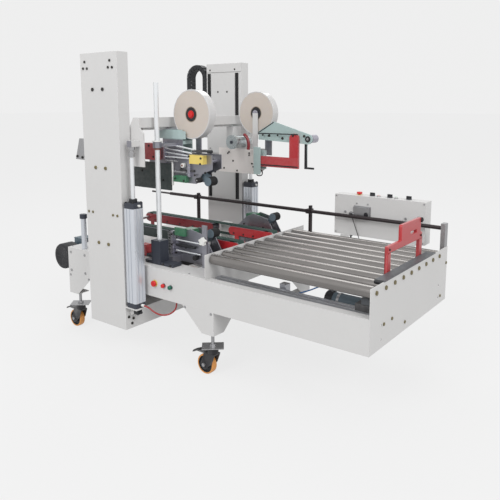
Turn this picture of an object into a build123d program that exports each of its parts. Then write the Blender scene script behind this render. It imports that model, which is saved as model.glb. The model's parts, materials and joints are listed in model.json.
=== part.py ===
from build123d import *
import math
import os

# A carton edge sealer on casters. Millimetres. +X runs along the machine to the loading end, +Y to its back, +Z up.
# The origin is on the floor, under the middle of the machine's overall box.

# Overall sizes
FRAME_LEFT = -860.0  # left end of the side beams
FRAME_RIGHT = 1030.0  # outer face of the table's end panel
HALF_WIDTH = 425.0  # machine centre to the outer face of a side beam
BEAM_BOTTOM = 330.0
BEAM_HEIGHT = 150.0
TABLE_HEIGHT = 600.0  # top edge of the table's panels
COLUMN_TOP = 1540.0
COLUMN_BOTTOM = 150.0
COLUMN_LEFT = -555.0
COLUMN_WIDTH = 280.0  # along X
COLUMN_DEPTH = 68.0  # along Y
COLUMN_GAP = 17.0  # between a side beam and its column

# Sheet and clearances
SHEET = 3.0
FLANGE = 45.0
DECK_T = 4.0
FIT = 0.06  # radial clearance of a shaft in its hole
GAP = 0.5  # between faces that slide past each other

BEAM_TOP = BEAM_BOTTOM + BEAM_HEIGHT
DECK_TOP = BEAM_TOP + DECK_T
COLUMN_RIGHT = COLUMN_LEFT + COLUMN_WIDTH
COLUMN_INNER = HALF_WIDTH + COLUMN_GAP  # distance of a column's inner face from the centre plane
COLUMN_OUTER = COLUMN_INNER + COLUMN_DEPTH
COLUMN_MIDDLE = COLUMN_INNER + COLUMN_DEPTH / 2

# Legs and casters
PAN_TOP = 242.0  # rim of the cross pan
LEG_BOTTOM = 215.0
LEG_TOP_WIDTH = 200.0
LEG_FOOT_WIDTH = 75.0
LEG_FOLD_RIGHT = 241.0  # fold line of the two right legs
STEM_INSET = 40.0
STEM_R = 8.0
WHEEL_R = 50.0
WHEEL_W = 32.0
WHEEL_TRAIL = 38.0
PLATE_Z = 148.0  # top of the caster plate
PLATE_TURN = 40.0  # the plates stand turned on their stems
DECK_POST = (-745.0, -395.0)
CASTER_NAMES = ("front_right", "front_left", "rear_right", "rear_left")

# Roller table
INNER_PANEL = 191.0  # left face of the panel that carries the rollers' left ends
ROLLER_COUNT = 9
ROLLER_PITCH = 86.0
ROLLER_R = 25.0
ROLLER_WALL = 2.5
AXLE_R = 6.0
FIRST_ROLLER_Y = -HALF_WIDTH + 49
ROLLER_Z = TABLE_HEIGHT - 2.0 - ROLLER_R
ROLLER_END_GAP = 6.0
COVER_LEFT = 988.0
COVER_LIP = 4.0  # how far it stands over the end panel
COVER_BACK = 250.0
COVER_FRONT = -310.0

# Bolt pattern for an infeed conveyor, in the end panel
MOUNT_SPACING_Y = 640.0
MOUNT_SPACING_Z = 60.0
MOUNT_Z = 396.0
MOUNT_HOLE_R = 5.5

# Air inlet on the back beam
AIR_INLET_X = -700.0
AIR_INLET_Z = 400.0
AIR_BOSS_R = 14.0
AIR_BOSS_L = 16.0
AIR_THREAD_R = 6.58

# Pusher
PUSHER_X = 976.0
PUSHER_T = 16.0
PUSHER_BAR = (678.0, 708.0, 777.0)  # underside and top of the bar, top of the plate
BASE_BAR = (508.0, 536.0)
RAIL_TOP = 478.0
LEG_Y = (-161.0, 183.0)  # the two gaps between rollers that the legs pass through
PUSHER_LEG_W = 31.0
RAIL_Y = -HALF_WIDTH + 95

# Belts
BELT_TOP = 602.0
BELT_T = 3.0
BELT_W = 44.0
PULLEY_R = 27.0
BELT_LANES = (-110.0, 190.0)
DRIVE_X = -820.0
TAIL_X = 140.0
SHAFT_R = 9.0
LANE_PLATE_T = 4.0
PULLEY_Z = BELT_TOP - BELT_T - PULLEY_R
LANE_GAP = (-270.0, -150.0)  # the side plates stop on both sides of the lower heads
LANE_LENGTHS = ((-845.0, LANE_GAP[0]), (LANE_GAP[1], 168.0))

# Lift
BRIDGE_X = -237.0
BRIDGE_SIZE = 50.0
BRIDGE_TOP = 1225.0
RAIL_W = 16.0
HANG_RAIL = (BRIDGE_TOP - BRIDGE_SIZE - 12, BRIDGE_TOP - BRIDGE_SIZE)
CARRIAGE_T = 8.0
CARRIAGE_Y = COLUMN_INNER - 4 - CARRIAGE_T  # distance of a carriage plate from the centre plane
CARRIAGE_BOTTOM = 985.0
CARRIAGE_TOP = 1165.0
LIFT_UP = 200.0
LIFT_DOWN = 200.0
SLOT_X = (-533.0, -310.0)
SLOT_W = 12.0
SLOT_TOP = 1480.0
SLOT_BOTTOM = 700.0
GUIDE_X = (-505.0, -338.0)
GUIDE_R = 10.0
CYLINDER_X = -229.0
CYLINDER_BODY = 75.0
CYLINDER_BORE = 63.0
CYLINDER_BOTTOM = 277.0
CYLINDER_TOP = 812.0
ROD_R = 10.0
LUG_Z = 1085.0

# Drag chain
CHAIN_X = (-714.0, -578.0)  # middle of the moving limb and of the fixed limb
CHAIN_Y = COLUMN_INNER + 28
CHAIN_END_Z = 1120.0
CHAIN_H = 32.0
CHAIN_W = 52.0

# Heads
FRONT_HEAD_Y = -218.0
REAR_HEAD_Y = 316.0
HEAD_IN = 32.0  # inner face of a head's side plates from the head's middle plane
HEAD_PLATE_T = 4.0
CHEEK = (HEAD_IN, HEAD_IN + HEAD_PLATE_T)  # a side plate's faces, from the head's middle plane
ROLL_X = -51.0
ROLL_Z = 1240.0
ROLL_R = 122.0
ROLL_W = 48.0
HUB_BORE_R = 10.0
LOW_ROLL_R = 70.0
LOW_ROLL_Z = 402.0
FRONT_TRAVEL_IN = 25.0
FRONT_TRAVEL_OUT = 50.0
GUIDE_ROD_X = -180.0
GUIDE_ROD_Y = -352.0
GUIDE_ROD_R = 12.5
GUIDE_ROD_TOP = 1395.0

# Head outlines, in X and Z, and the pivots of the roller arms
FRONT_UPPER = [(-225, 897), (-10, 897), (30, 950), (95, 975), (95, 1045), (-225, 1045)]
REAR_UPPER = [(-320, 892), (-60, 892), (-20, 925), (-20, 1036), (-320, 1036)]
FRONT_PIVOT = (-40.0, 960.0)
FRONT_ROLLER = (55.0, 912.0)
REAR_PIVOT = (4.0, 1112.0)
REAR_ROLLER = (312.0, 1106.0)
PIVOT_R = 6.0
ARM_FRONT = REAR_HEAD_Y - 48  # front face of the rear head's roller arm
GUARD_T = 16.0
HEAD_CYLINDER = (-140.0, 1078.0)
REAR_ARM = [(-14, 1094), (312, 1079), (320, 1132), (90, 1196), (-14, 1140)]
HANGER_TOP = HANG_RAIL[0] - GAP
LOW_OUTLINE = [(-200, DECK_TOP), (90, DECK_TOP), (90, 560), (40, 640), (-60, 660), (-110, 640), (-200, 560)]
LOW_FLOAT = 0.4  # the sliding head rides this far above the deck
LOW_PIVOT = (20.0, 610.0)
LOW_ROLLER = (68.0, 652.0)
SLEEVE_TOP = 608.0
STAR_Z = 622.0
STAR_STEM_R = 5.0

# Guide rail
GUIDE_BAR_Y = HALF_WIDTH - 25
GUIDE_BAR_Z = 692.0
GUIDE_BAR_R = 10.0
GUIDE_TAIL_R = 6.0
GUIDE_TAIL_LEFT = -1034.0

# Controls
BOX_LEFT = 390.0
BOX_RIGHT = 908.0
BOX_BOTTOM = 580.0
BOX_TOP = 802.0
BOX_FRONT = HALF_WIDTH + 12
BOX_BACK = HALF_WIDTH + 87
BEAM_BUTTONS = (("emergency_stop", -145.0, 15.0), ("stop_button", -81.0, 10.0), ("start_button", -33.0, 10.0))
BUTTON_Z = 402.0
BUTTON_STEM_R = 6.0
BUTTON_TRAVEL = 4.0
STOP_X = 520.0
KNOB_X = (597.0, 697.0, 802.0)
LAMP_X = (634.0, 732.0)
KNOB_STEM_R = 5.0
CONTROL_Y = (BOX_FRONT + BOX_BACK) / 2
SWITCH_PIVOT = (503.0, 699.0)
LEVER_TIP = (556.0, 566.0)
SWITCH_BACK = BOX_FRONT
SWITCH_FRONT = BOX_FRONT - 18

# Drive motor
MOTOR_X = -960.0
MOTOR_Z = 405.0
MOTOR_R = 75.0
MOTOR_BRACKET_Y = (-130.0, 40.0)

# Hexagon heads
COLUMN_BOLT_Z = (583.0, 973.0, 1362.0)
CLUSTER_X = (-518.0, -326.0)
CLUSTER_Z = 1498.0
BOX_BOLT_X = (457.0, 804.0)

# Air hose, from the front cylinder's lower port to the underside of the front beam
HOSE_R = 4.0
PORT_L = 20.0
HOSE_START = (CYLINDER_X + CYLINDER_BODY / 2 + PORT_L, -COLUMN_MIDDLE, CYLINDER_BOTTOM + 15)
HOSE_END = (-17.0, -HALF_WIDTH + 21, BEAM_BOTTOM - 5)
FROM_START = ((0, 0, 0), (28, 0, 0), (56.5, 5, -18), (88.5, 20, -34))
FROM_END = ((-35, -30, -67), (-11, -10, -50), (0, 0, -26), (0, 0, 0))


def block(x, y, z):
    """A box from its (low, high) pairs."""
    size = [high - low for low, high in (x, y, z)]
    middle = [(low + high) / 2 for low, high in (x, y, z)]
    return Pos(*middle) * Box(*size)


def about(middle, width):
    """The (low, high) pair of that width round a middle."""
    return (middle - width / 2, middle + width / 2)


def rod(axis, middle, radius, length):
    """A round bar along X, Y or Z."""
    turn = {"X": Rot(0, 90, 0), "Y": Rot(90, 0, 0), "Z": Rot(0, 0, 0)}[axis]
    return Pos(*middle) * turn * Cylinder(radius, length)


def tube(axis, middle, outer, inner, length):
    """A round tube along X, Y or Z."""
    return rod(axis, middle, outer, length) - rod(axis, middle, inner, length + 2)


def hexagon_head(axis, middle, across, height):
    """A hexagon bolt head that stands along X, Y or Z."""
    turn = {"X": Rot(0, 90, 0), "Y": Rot(90, 0, 0), "Z": Rot(0, 0, 0)}[axis]
    head = extrude(RegularPolygon(across / 2, 6, major_radius=False), height / 2, both=True)
    return Pos(*middle) * turn * head


def plate_xz(points, y):
    """A flat plate with an outline in X and Z, between two Y values."""
    face = make_face(Polyline(*[(px, y[0], pz) for px, pz in points], close=True))
    return extrude(face, amount=y[1] - y[0], dir=(0, 1, 0))


def plate_yz(points, x):
    """A flat plate with an outline in Y and Z, between two X values."""
    face = make_face(Polyline(*[(x[0], py, pz) for py, pz in points], close=True))
    return extrude(face, amount=x[1] - x[0], dir=(1, 0, 0))


def across(side, y):
    """A (low, high) pair in Y, given for the back side, moved to the front when side is -1."""
    return tuple(sorted((side * y[0], side * y[1])))


def save(name, *solids):
    """Writes one node."""
    parts = []
    for solid in solids:
        parts.extend(solid.solids())
    export_step(parts[0] if len(parts) == 1 else Compound(children=parts), f"parts/{name}.step")
    print(name, len(parts))


# ---------------------------------------------------------------- frame


def side_beam(side):
    """A C channel along the machine, its open side inward."""
    x = (FRAME_LEFT, FRAME_RIGHT - SHEET)
    web = block(x, across(side, (HALF_WIDTH - SHEET, HALF_WIDTH)), (BEAM_BOTTOM, BEAM_TOP))
    inner = across(side, (HALF_WIDTH - FLANGE, HALF_WIDTH - SHEET))
    low = block(x, inner, (BEAM_BOTTOM, BEAM_BOTTOM + SHEET))
    high = block(x, inner, (BEAM_TOP - SHEET, BEAM_TOP))
    return web + low + high


def front_beam():
    """The front beam, with the holes for its three buttons."""
    beam = side_beam(-1)
    for _, x, _ in BEAM_BUTTONS:
        beam -= rod("Y", (x, -HALF_WIDTH, BUTTON_Z), BUTTON_STEM_R + FIT, 4 * SHEET)
    return beam


def back_beam():
    """The back beam, with the threaded boss of the air inlet."""
    boss = tube("Y", (AIR_INLET_X, HALF_WIDTH + AIR_BOSS_L / 2, AIR_INLET_Z), AIR_BOSS_R, AIR_THREAD_R, AIR_BOSS_L)
    return side_beam(1) + boss


def end_member():
    """The cross channel at the left end, between the side beams' webs."""
    half = HALF_WIDTH - SHEET
    web = block((FRAME_LEFT, FRAME_LEFT + SHEET), (-half, half), (BEAM_BOTTOM, BEAM_TOP))
    inner = HALF_WIDTH - FLANGE
    flange = (FRAME_LEFT + SHEET, FRAME_LEFT + FLANGE)
    low = block(flange, (-inner, inner), (BEAM_BOTTOM, BEAM_BOTTOM + SHEET))
    high = block(flange, (-inner, inner), (BEAM_TOP - SHEET, BEAM_TOP))
    notch = (MOTOR_BRACKET_Y[0] + 30, MOTOR_BRACKET_Y[1] - 30)
    web -= block((FRAME_LEFT - 1, FRAME_LEFT + SHEET + 1), notch, (BEAM_BOTTOM + 40, BEAM_TOP - 40))
    return web + low + high


def leg(side, fold, inward):
    """A corner leg: two sheets folded at the outer corner, narrowing to a foot plate. inward is its way along X."""
    top, foot = LEG_TOP_WIDTH, LEG_FOOT_WIDTH
    outline = [(0, BEAM_BOTTOM), (top, BEAM_BOTTOM), (foot, LEG_BOTTOM), (0, LEG_BOTTOM)]
    outer = across(side, (HALF_WIDTH - SHEET, HALF_WIDTH))
    front = plate_xz([(fold + inward * w, z) for w, z in outline], outer)
    edge = tuple(sorted((fold, fold + inward * SHEET)))
    flank = plate_yz([(side * (HALF_WIDTH - w), z) for w, z in outline], edge)
    foot_x = tuple(sorted((fold, fold + inward * foot)))
    floor = block(foot_x, across(side, (HALF_WIDTH - foot, HALF_WIDTH)), (LEG_BOTTOM, LEG_BOTTOM + 4))
    x, y = stem_place(side, fold, inward)
    hole = rod("Z", (x, y, LEG_BOTTOM), STEM_R + GAP / 5, 30)
    return front + flank + floor - hole


def stem_place(side, fold, inward):
    """Where a caster's stem stands."""
    return fold + inward * STEM_INSET, side * (HALF_WIDTH - STEM_INSET)


def stem(side, fold, inward):
    """A levelling stem with its nuts, and the caster plate on its lower end."""
    x, y = stem_place(side, fold, inward)
    bar = rod("Z", (x, y, (PLATE_Z + LEG_BOTTOM + 30) / 2), STEM_R, LEG_BOTTOM + 30 - PLATE_Z)
    nut_low = hexagon_head("Z", (x, y, LEG_BOTTOM - 6), 24, 12)
    nut_high = hexagon_head("Z", (x, y, LEG_BOTTOM + 4 + 6), 24, 12)
    nut_plate = hexagon_head("Z", (x, y, PLATE_Z + 5), 26, 10)
    plate = Pos(x, y, PLATE_Z - 2) * Rot(0, 0, PLATE_TURN) * Box(105, 80, 4)
    return bar + nut_low + nut_high + nut_plate + plate


LEGS = ((-1, LEG_FOLD_RIGHT, -1), (-1, FRAME_LEFT, 1), (1, LEG_FOLD_RIGHT, -1), (1, FRAME_LEFT, 1))


def column(side):
    """A hollow column with two slots in its inner face and two guide rods inside."""
    outer = across(side, (COLUMN_INNER, COLUMN_OUTER))
    shell = block((COLUMN_LEFT, COLUMN_RIGHT), outer, (COLUMN_BOTTOM, COLUMN_TOP))
    hollow = across(side, (COLUMN_INNER + SHEET, COLUMN_OUTER - SHEET))
    shell -= block((COLUMN_LEFT + SHEET, COLUMN_RIGHT - SHEET), hollow, (COLUMN_BOTTOM + SHEET, COLUMN_TOP - SHEET))
    wall = across(side, (COLUMN_INNER - 1, COLUMN_INNER + SHEET + 1))
    for x in SLOT_X:
        shell -= block(about(x, SLOT_W), wall, (SLOT_BOTTOM, SLOT_TOP))
    middle = side * COLUMN_MIDDLE
    height = COLUMN_TOP - COLUMN_BOTTOM - 2 * SHEET
    for x in GUIDE_X:
        shell += rod("Z", (x, middle, (COLUMN_TOP + COLUMN_BOTTOM) / 2), GUIDE_R, height)
    return shell


def column_spacer(side, x):
    """A block between a side beam and its column."""
    return block(about(x, 40), across(side, (HALF_WIDTH, COLUMN_INNER)), (BEAM_BOTTOM + 20, BEAM_TOP - 20))


def cylinder_foot(side):
    """The gusseted shelf on a column that a lift cylinder stands on."""
    x = (COLUMN_RIGHT, CYLINDER_X + CYLINDER_BODY / 2)
    z = CYLINDER_BOTTOM - 8
    shelf = block(x, across(side, (COLUMN_INNER, COLUMN_OUTER)), (z, CYLINDER_BOTTOM))
    gusset = plate_xz([(x[0], z), (x[1] - 10, z), (x[0], z - 52)], about(side * COLUMN_MIDDLE, 6))
    return shelf + gusset


def cross_pan():
    """The open-topped channel that ties the two columns' feet together."""
    half = COLUMN_INNER
    pan = block((COLUMN_LEFT, COLUMN_RIGHT), (-half, half), (COLUMN_BOTTOM, PAN_TOP))
    pan -= block((COLUMN_LEFT + SHEET, COLUMN_RIGHT - SHEET), (-half - 1, half + 1), (COLUMN_BOTTOM + SHEET, PAN_TOP + 1))
    return pan


def deck():
    """The deck plate on the side beams, with an opening under each lower tape roll."""
    plate = block((FRAME_LEFT, INNER_PANEL), (-HALF_WIDTH, HALF_WIDTH), (BEAM_TOP, DECK_TOP))
    span = about(ROLL_X, 2 * LOW_ROLL_R + 30)
    near = ROLL_W / 2 + 8
    far = HEAD_IN + HEAD_PLATE_T + 6
    front = (FRONT_HEAD_Y - FRONT_TRAVEL_OUT - near, FRONT_HEAD_Y + FRONT_TRAVEL_IN + far)
    rear = (REAR_HEAD_Y - near, REAR_HEAD_Y + far)
    for opening in (front, rear):
        plate -= block(span, opening, (BEAM_TOP - 1, DECK_TOP + 1))
    return plate


def deck_post():
    """The capped post that stands on the deck's front left."""
    x, y = DECK_POST
    post = rod("Z", (x, y, DECK_TOP + 88), 15, 176)
    return post + rod("Z", (x, y, DECK_TOP + 186), 20, 24)


def frame():
    """Everything that is bolted together and stands still."""
    save("frame_beams", front_beam(), back_beam(), end_member())
    save("corner_legs", *[leg(*place) for place in LEGS], *[stem(*place) for place in LEGS])
    spacer_x = (COLUMN_LEFT + 60, COLUMN_RIGHT - 60)
    fittings = [column_spacer(side, x) for side in (-1, 1) for x in spacer_x]
    fittings += [cylinder_foot(-1), cylinder_foot(1)]
    save("columns", column(-1), column(1), chain_anchor(), *fittings)
    save("cross_pan", cross_pan())
    save("deck_plate", deck(), deck_post())


# ---------------------------------------------------------------- roller table


def roller_y(index):
    """A table roller's place across the machine."""
    return FIRST_ROLLER_Y + index * ROLLER_PITCH


def table_panels():
    """The panels that carry the rollers' ends, and the cover plate over the loading end."""
    inner_t = (INNER_PANEL, INNER_PANEL + SHEET)
    half = HALF_WIDTH
    inner = block(inner_t, (-half, half), (BEAM_TOP, TABLE_HEIGHT))
    inner += block(inner_t, (-half + FLANGE + GAP, half - FLANGE - GAP), (BEAM_TOP - 80, BEAM_TOP))
    end = block((FRAME_RIGHT - SHEET, FRAME_RIGHT), (-half, half), (BEAM_BOTTOM, TABLE_HEIGHT))
    for index in range(ROLLER_COUNT):
        place = (0, roller_y(index), ROLLER_Z)
        inner -= Pos(INNER_PANEL, 0, 0) * rod("X", place, AXLE_R + FIT, 20)
        end -= Pos(FRAME_RIGHT, 0, 0) * rod("X", place, AXLE_R + FIT, 20)
    for y in about(0, MOUNT_SPACING_Y):
        for z in about(MOUNT_Z, MOUNT_SPACING_Z):
            end -= rod("X", (FRAME_RIGHT, y, z), MOUNT_HOLE_R, 20)
    cover_x = (COVER_LEFT, FRAME_RIGHT + COVER_LIP)
    cover = block(cover_x, (COVER_FRONT, COVER_BACK), (TABLE_HEIGHT, TABLE_HEIGHT + 3))
    return inner, end, cover


def table_roller(index):
    """A steel roller, its two end discs and the axle whose ends turn in the panels."""
    left = INNER_PANEL + SHEET + ROLLER_END_GAP
    right = FRAME_RIGHT - SHEET - ROLLER_END_GAP
    y = roller_y(index)
    middle = (left + right) / 2
    shell = tube("X", (middle, y, ROLLER_Z), ROLLER_R, ROLLER_R - ROLLER_WALL, right - left)
    for x in (left + 4, right - 4):
        shell += rod("X", (x, y, ROLLER_Z), ROLLER_R - ROLLER_WALL / 2, 8)
    axle_left = INNER_PANEL
    axle_right = FRAME_RIGHT - 0.5
    return shell + rod("X", ((axle_left + axle_right) / 2, y, ROLLER_Z), AXLE_R, axle_right - axle_left)


def pusher():
    """The pusher: a slotted plate on a bar, two legs down between the rollers, the base bar and its slider."""
    x = about(PUSHER_X, PUSHER_T)
    front, back = LEG_Y
    half = PUSHER_LEG_W / 2
    low, high, top = PUSHER_BAR
    blade = block(x, (front - half, back + half), (low, high))
    blade += plate_yz([(-40, high), (back - 3, high), (back - 3, top), (-32, top), (-40, top - 8)], x)
    blade -= block((x[0] - 1, x[1] + 1), (60, 130), (high + 8, high + 22))
    legs = [block(x, about(y, PUSHER_LEG_W), (BASE_BAR[1], low)) for y in LEG_Y]
    base = block(about(PUSHER_X, 36), (RAIL_Y - 30, back + half), BASE_BAR)
    slider = block(about(PUSHER_X, 90), about(RAIL_Y, 60), (RAIL_TOP + GAP, BASE_BAR[0]))
    return blade, *legs, base, slider


def pusher_drive():
    """The rail under the rollers with its end blocks, a stop block, and the pusher's air motor."""
    rail_x = (INNER_PANEL + SHEET, FRAME_RIGHT - SHEET)
    rail = block(rail_x, about(RAIL_Y, 44), (RAIL_TOP - 34, RAIL_TOP))
    rail -= block((rail_x[0] - 1, rail_x[1] + 1), about(RAIL_Y, 10), (RAIL_TOP - 6, RAIL_TOP + 1))
    stop = block((525, 560), (RAIL_Y + 22, RAIL_Y + 68), (RAIL_TOP - 40, RAIL_TOP - 6))
    stop += block((525, 560), (RAIL_Y + 34, RAIL_Y + 68), (RAIL_TOP - 6, RAIL_TOP + 18))
    shelf = block((740, 966), about(RAIL_Y + 95, 60), (RAIL_TOP - 64, RAIL_TOP - 58))
    shelf += block((800, 900), (RAIL_Y + 22, RAIL_Y + 70), (RAIL_TOP - 64, RAIL_TOP - 58))
    shelf += block((800, 900), (RAIL_Y + 22, RAIL_Y + 26), (RAIL_TOP - 58, RAIL_TOP - 34))
    motor = rod("X", (853, RAIL_Y + 95, RAIL_TOP - 24), 34, 226)
    return rail, stop, shelf - motor, motor


def table():
    """The roller table and its pusher."""
    save("table_panels", *table_panels())
    for index in range(ROLLER_COUNT):
        save(f"table_roller_{index + 1}", table_roller(index))
    save("pusher", *pusher())
    save("pusher_drive", *pusher_drive())


# ---------------------------------------------------------------- belts


def lane_section(lane, ends):
    """One length of a belt conveyor: two side plates with rounded ends and feet, the slider bed and its ties."""
    low, high = PULLEY_Z - 24, PULLEY_Z + 24
    inner = BELT_W / 2 + 5
    solids = []
    for sign in (-1, 1):
        y = tuple(sorted((lane + sign * inner, lane + sign * (inner + LANE_PLATE_T))))
        side = block((ends[0] + 24, ends[1] - 24), y, (low, high))
        for x in (ends[0] + 24, ends[1] - 24):
            side += rod("Y", (x, sum(y) / 2, PULLEY_Z), 24, LANE_PLATE_T)
        for x in (ends[0] + 60, ends[1] - 60):
            side += block(about(x, 30), y, (DECK_TOP, low + 1))
        for x in (DRIVE_X, TAIL_X):
            side -= rod("Y", (x, lane, PULLEY_Z), SHAFT_R + FIT, 4 * inner)
        solids.append(side)
    bed = (max(ends[0], DRIVE_X + PULLEY_R + 12), min(ends[1], TAIL_X - PULLEY_R - 12))
    bed_top = BELT_TOP - BELT_T - 0.6
    solids.append(block(bed, about(lane, 2 * inner), (bed_top - 6, bed_top)))
    for x in (bed[0] + 20, bed[1] - 20):
        solids.append(block(about(x, 16), about(lane, 2 * inner), (PULLEY_Z - 8, PULLEY_Z + 8)))
    return solids


def belt(lane):
    """A closed flat belt round its two pulleys."""
    outer = PULLEY_R + BELT_T
    loop = lane_loop(outer, lane) - lane_loop(PULLEY_R + FIT, lane, 2)
    return loop


def lane_loop(radius, lane, extra=0.0):
    """The solid inside a belt's run, of that radius round the pulleys."""
    width = BELT_W + extra
    solid = block((DRIVE_X, TAIL_X), about(lane, width), (PULLEY_Z - radius, PULLEY_Z + radius))
    for x in (DRIVE_X, TAIL_X):
        solid += rod("Y", (x, lane, PULLEY_Z), radius, width)
    return solid


def pulley_shaft(x):
    """A shaft across both lanes with a pulley in each."""
    front, rear = BELT_LANES
    reach = BELT_W / 2 + 5 + LANE_PLATE_T + 8
    shaft = rod("Y", (x, (front + rear) / 2, PULLEY_Z), SHAFT_R, rear - front + 2 * reach)
    for lane in BELT_LANES:
        shaft += rod("Y", (x, lane, PULLEY_Z), PULLEY_R, BELT_W + 2)
    return shaft


def drive_motor():
    """The belt motor with its fan cover, terminal box, gearbox and bracket, beside the left end."""
    body = rod("Y", (MOTOR_X, -220, MOTOR_Z), MOTOR_R - 8, 200)
    fan = rod("Y", (MOTOR_X, -360, MOTOR_Z), MOTOR_R, 80)
    fan = fan.fillet(9, fan.edges().filter_by(GeomType.CIRCLE).group_by(Axis.Y)[0])
    terminal = block(about(MOTOR_X, 80), (-280, -200), (MOTOR_Z + 50, MOTOR_Z + 88)) - body
    gears = block(about(MOTOR_X, 110), (-120, -10), about(MOTOR_Z, 120))
    bracket = block((MOTOR_X + 55, FRAME_LEFT), MOTOR_BRACKET_Y, about(MOTOR_Z, 100))
    inside = (MOTOR_BRACKET_Y[0] - 1, MOTOR_BRACKET_Y[1] - 12)
    bracket -= block((MOTOR_X + 63, FRAME_LEFT - 8), inside, about(MOTOR_Z, 84))
    return body, fan, terminal, gears, bracket


def belts():
    """The two belt conveyors and their drive."""
    sections = [lane_section(lane, ends) for lane in BELT_LANES for ends in LANE_LENGTHS]
    save("belt_conveyors", *[solid for section in sections for solid in section])
    save("belts", *[belt(lane) for lane in BELT_LANES])
    save("belt_drive_shaft", pulley_shaft(DRIVE_X))
    save("belt_tail_shaft", pulley_shaft(TAIL_X))
    save("drive_motor", *drive_motor())


# ---------------------------------------------------------------- lift


def bridge():
    """The cross beam between the carriages, with the rail that the front head hangs from."""
    half = CARRIAGE_Y
    x = about(BRIDGE_X, BRIDGE_SIZE)
    beam = block(x, (-half, half), (BRIDGE_TOP - BRIDGE_SIZE, BRIDGE_TOP))
    rail = block(about(BRIDGE_X, RAIL_W), (-half + 30, half - 30), (HANG_RAIL[0], BRIDGE_TOP - BRIDGE_SIZE))
    return beam + rail


def carriage(side):
    """A carriage: a plate on the column's inner face, slide blocks on the guide rods, and the cylinder's lug."""
    left, right = SLOT_X[0] - 12, CYLINDER_X + 44
    beam = about(BRIDGE_X, BRIDGE_SIZE)
    low, high = CARRIAGE_BOTTOM, CARRIAGE_TOP
    shoulder = [(right, high - 15), (beam[1], high + 10), (beam[1], BRIDGE_TOP), (beam[0] + 8, BRIDGE_TOP)]
    outline = [(left, low), (right, low)] + shoulder + [(beam[0] - 30, high), (left, high)]
    plate = plate_xz(outline, across(side, (CARRIAGE_Y, CARRIAGE_Y + CARRIAGE_T)))
    middle = COLUMN_MIDDLE
    block_z = about((low + high) / 2, 110)
    slides = []
    for slot, guide in zip(SLOT_X, GUIDE_X):
        way = math.copysign(1, guide - slot)
        tongue = SLOT_W - 3
        slide = block(about(slot, tongue), across(side, (CARRIAGE_Y + CARRIAGE_T, middle)), block_z)
        reach = tuple(sorted((slot - way * tongue / 2, guide + way * 18)))
        slide += block(reach, across(side, (middle - 20, middle + 20)), block_z)
        slides.append(slide - rod("Z", (guide, side * middle, block_z[0]), GUIDE_R + FIT, 400))
    lug = block(about(CYLINDER_X, 34), across(side, (CARRIAGE_Y + CARRIAGE_T, middle + 14)), (LUG_Z, LUG_Z + 30))
    return plate, *slides, lug


def carriage_tail():
    """The tapered plate of the front carriage that stands out behind its column."""
    outline = [(-690, 1109), (SLOT_X[0] - 12, 1109), (SLOT_X[0] - 12, 991), (-728, 996)]
    return plate_xz(outline, across(-1, (CARRIAGE_Y, CARRIAGE_Y + CARRIAGE_T)))


def chain_arm():
    """The rear carriage's arm that carries the moving end of the drag chain."""
    reach = about(CHAIN_X[0], CHAIN_H + 18)
    arm = block((reach[0], SLOT_X[0] - 12), (CARRIAGE_Y, CARRIAGE_Y + CARRIAGE_T), (CHAIN_END_Z - 40, CHAIN_END_Z))
    shelf_y = (CARRIAGE_Y + CARRIAGE_T, CHAIN_Y + CHAIN_W / 2)
    return arm, block(reach, shelf_y, (CHAIN_END_Z - 8, CHAIN_END_Z))


def chain_anchor():
    """The shelf on the rear column that holds the fixed end of the drag chain."""
    y = about(CHAIN_Y, CHAIN_W)
    return block((CHAIN_X[1] - CHAIN_H / 2, COLUMN_LEFT), y, (CHAIN_END_Z - 8, CHAIN_END_Z))


def drag_chain():
    """The drag chain: two limbs and the bend between them."""
    left, right = CHAIN_X
    bend = (right - left) / 2
    centre = (left + right) / 2
    top = COLUMN_TOP - bend - CHAIN_H / 2
    ring = tube("Y", (centre, CHAIN_Y, top), bend + CHAIN_H / 2, bend - CHAIN_H / 2, CHAIN_W)
    ring -= block((left - 60, right + 60), about(CHAIN_Y, CHAIN_W + 4), (top - 200, top))
    for x in CHAIN_X:
        ring += block(about(x, CHAIN_H), about(CHAIN_Y, CHAIN_W), (CHAIN_END_Z + 0.3, top))
    return ring


def cylinder(side):
    """A lift cylinder's barrel with its end caps, open for the rod at the top, and its lower port fitting."""
    middle = side * COLUMN_MIDDLE
    body = block(about(CYLINDER_X, CYLINDER_BODY), about(middle, CYLINDER_BODY - 5), (CYLINDER_BOTTOM, CYLINDER_TOP))
    height = CYLINDER_TOP - CYLINDER_BOTTOM
    body = body.fillet(6, body.edges().filter_by(Axis.Z))
    body -= rod("Z", (CYLINDER_X, middle, (CYLINDER_TOP + CYLINDER_BOTTOM) / 2), CYLINDER_BORE / 2, height - 50)
    body += rod("Z", (CYLINDER_X, middle, CYLINDER_TOP + 9), 20, 18)
    body -= rod("Z", (CYLINDER_X, middle, CYLINDER_TOP), ROD_R + FIT, 120)
    port = rod("X", (CYLINDER_X + (CYLINDER_BODY + PORT_L) / 2, middle, CYLINDER_BOTTOM + 15), 7, PORT_L)
    return body + port


def piston_rod(side):
    """A piston on its rod, with the joint that carries the carriage's lug."""
    middle = side * COLUMN_MIDDLE
    piston_z = (CYLINDER_TOP + CYLINDER_BOTTOM) / 2
    bar = rod("Z", (CYLINDER_X, middle, (piston_z + LUG_Z) / 2), ROD_R, LUG_Z - piston_z)
    bar += rod("Z", (CYLINDER_X, middle, piston_z), CYLINDER_BORE / 2 - FIT, 20)
    bar += rod("Z", (CYLINDER_X, middle, LUG_Z - 36), 16, 26)
    bar += hexagon_head("Z", (CYLINDER_X, middle, LUG_Z - 8), 28, 16)
    return bar


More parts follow.
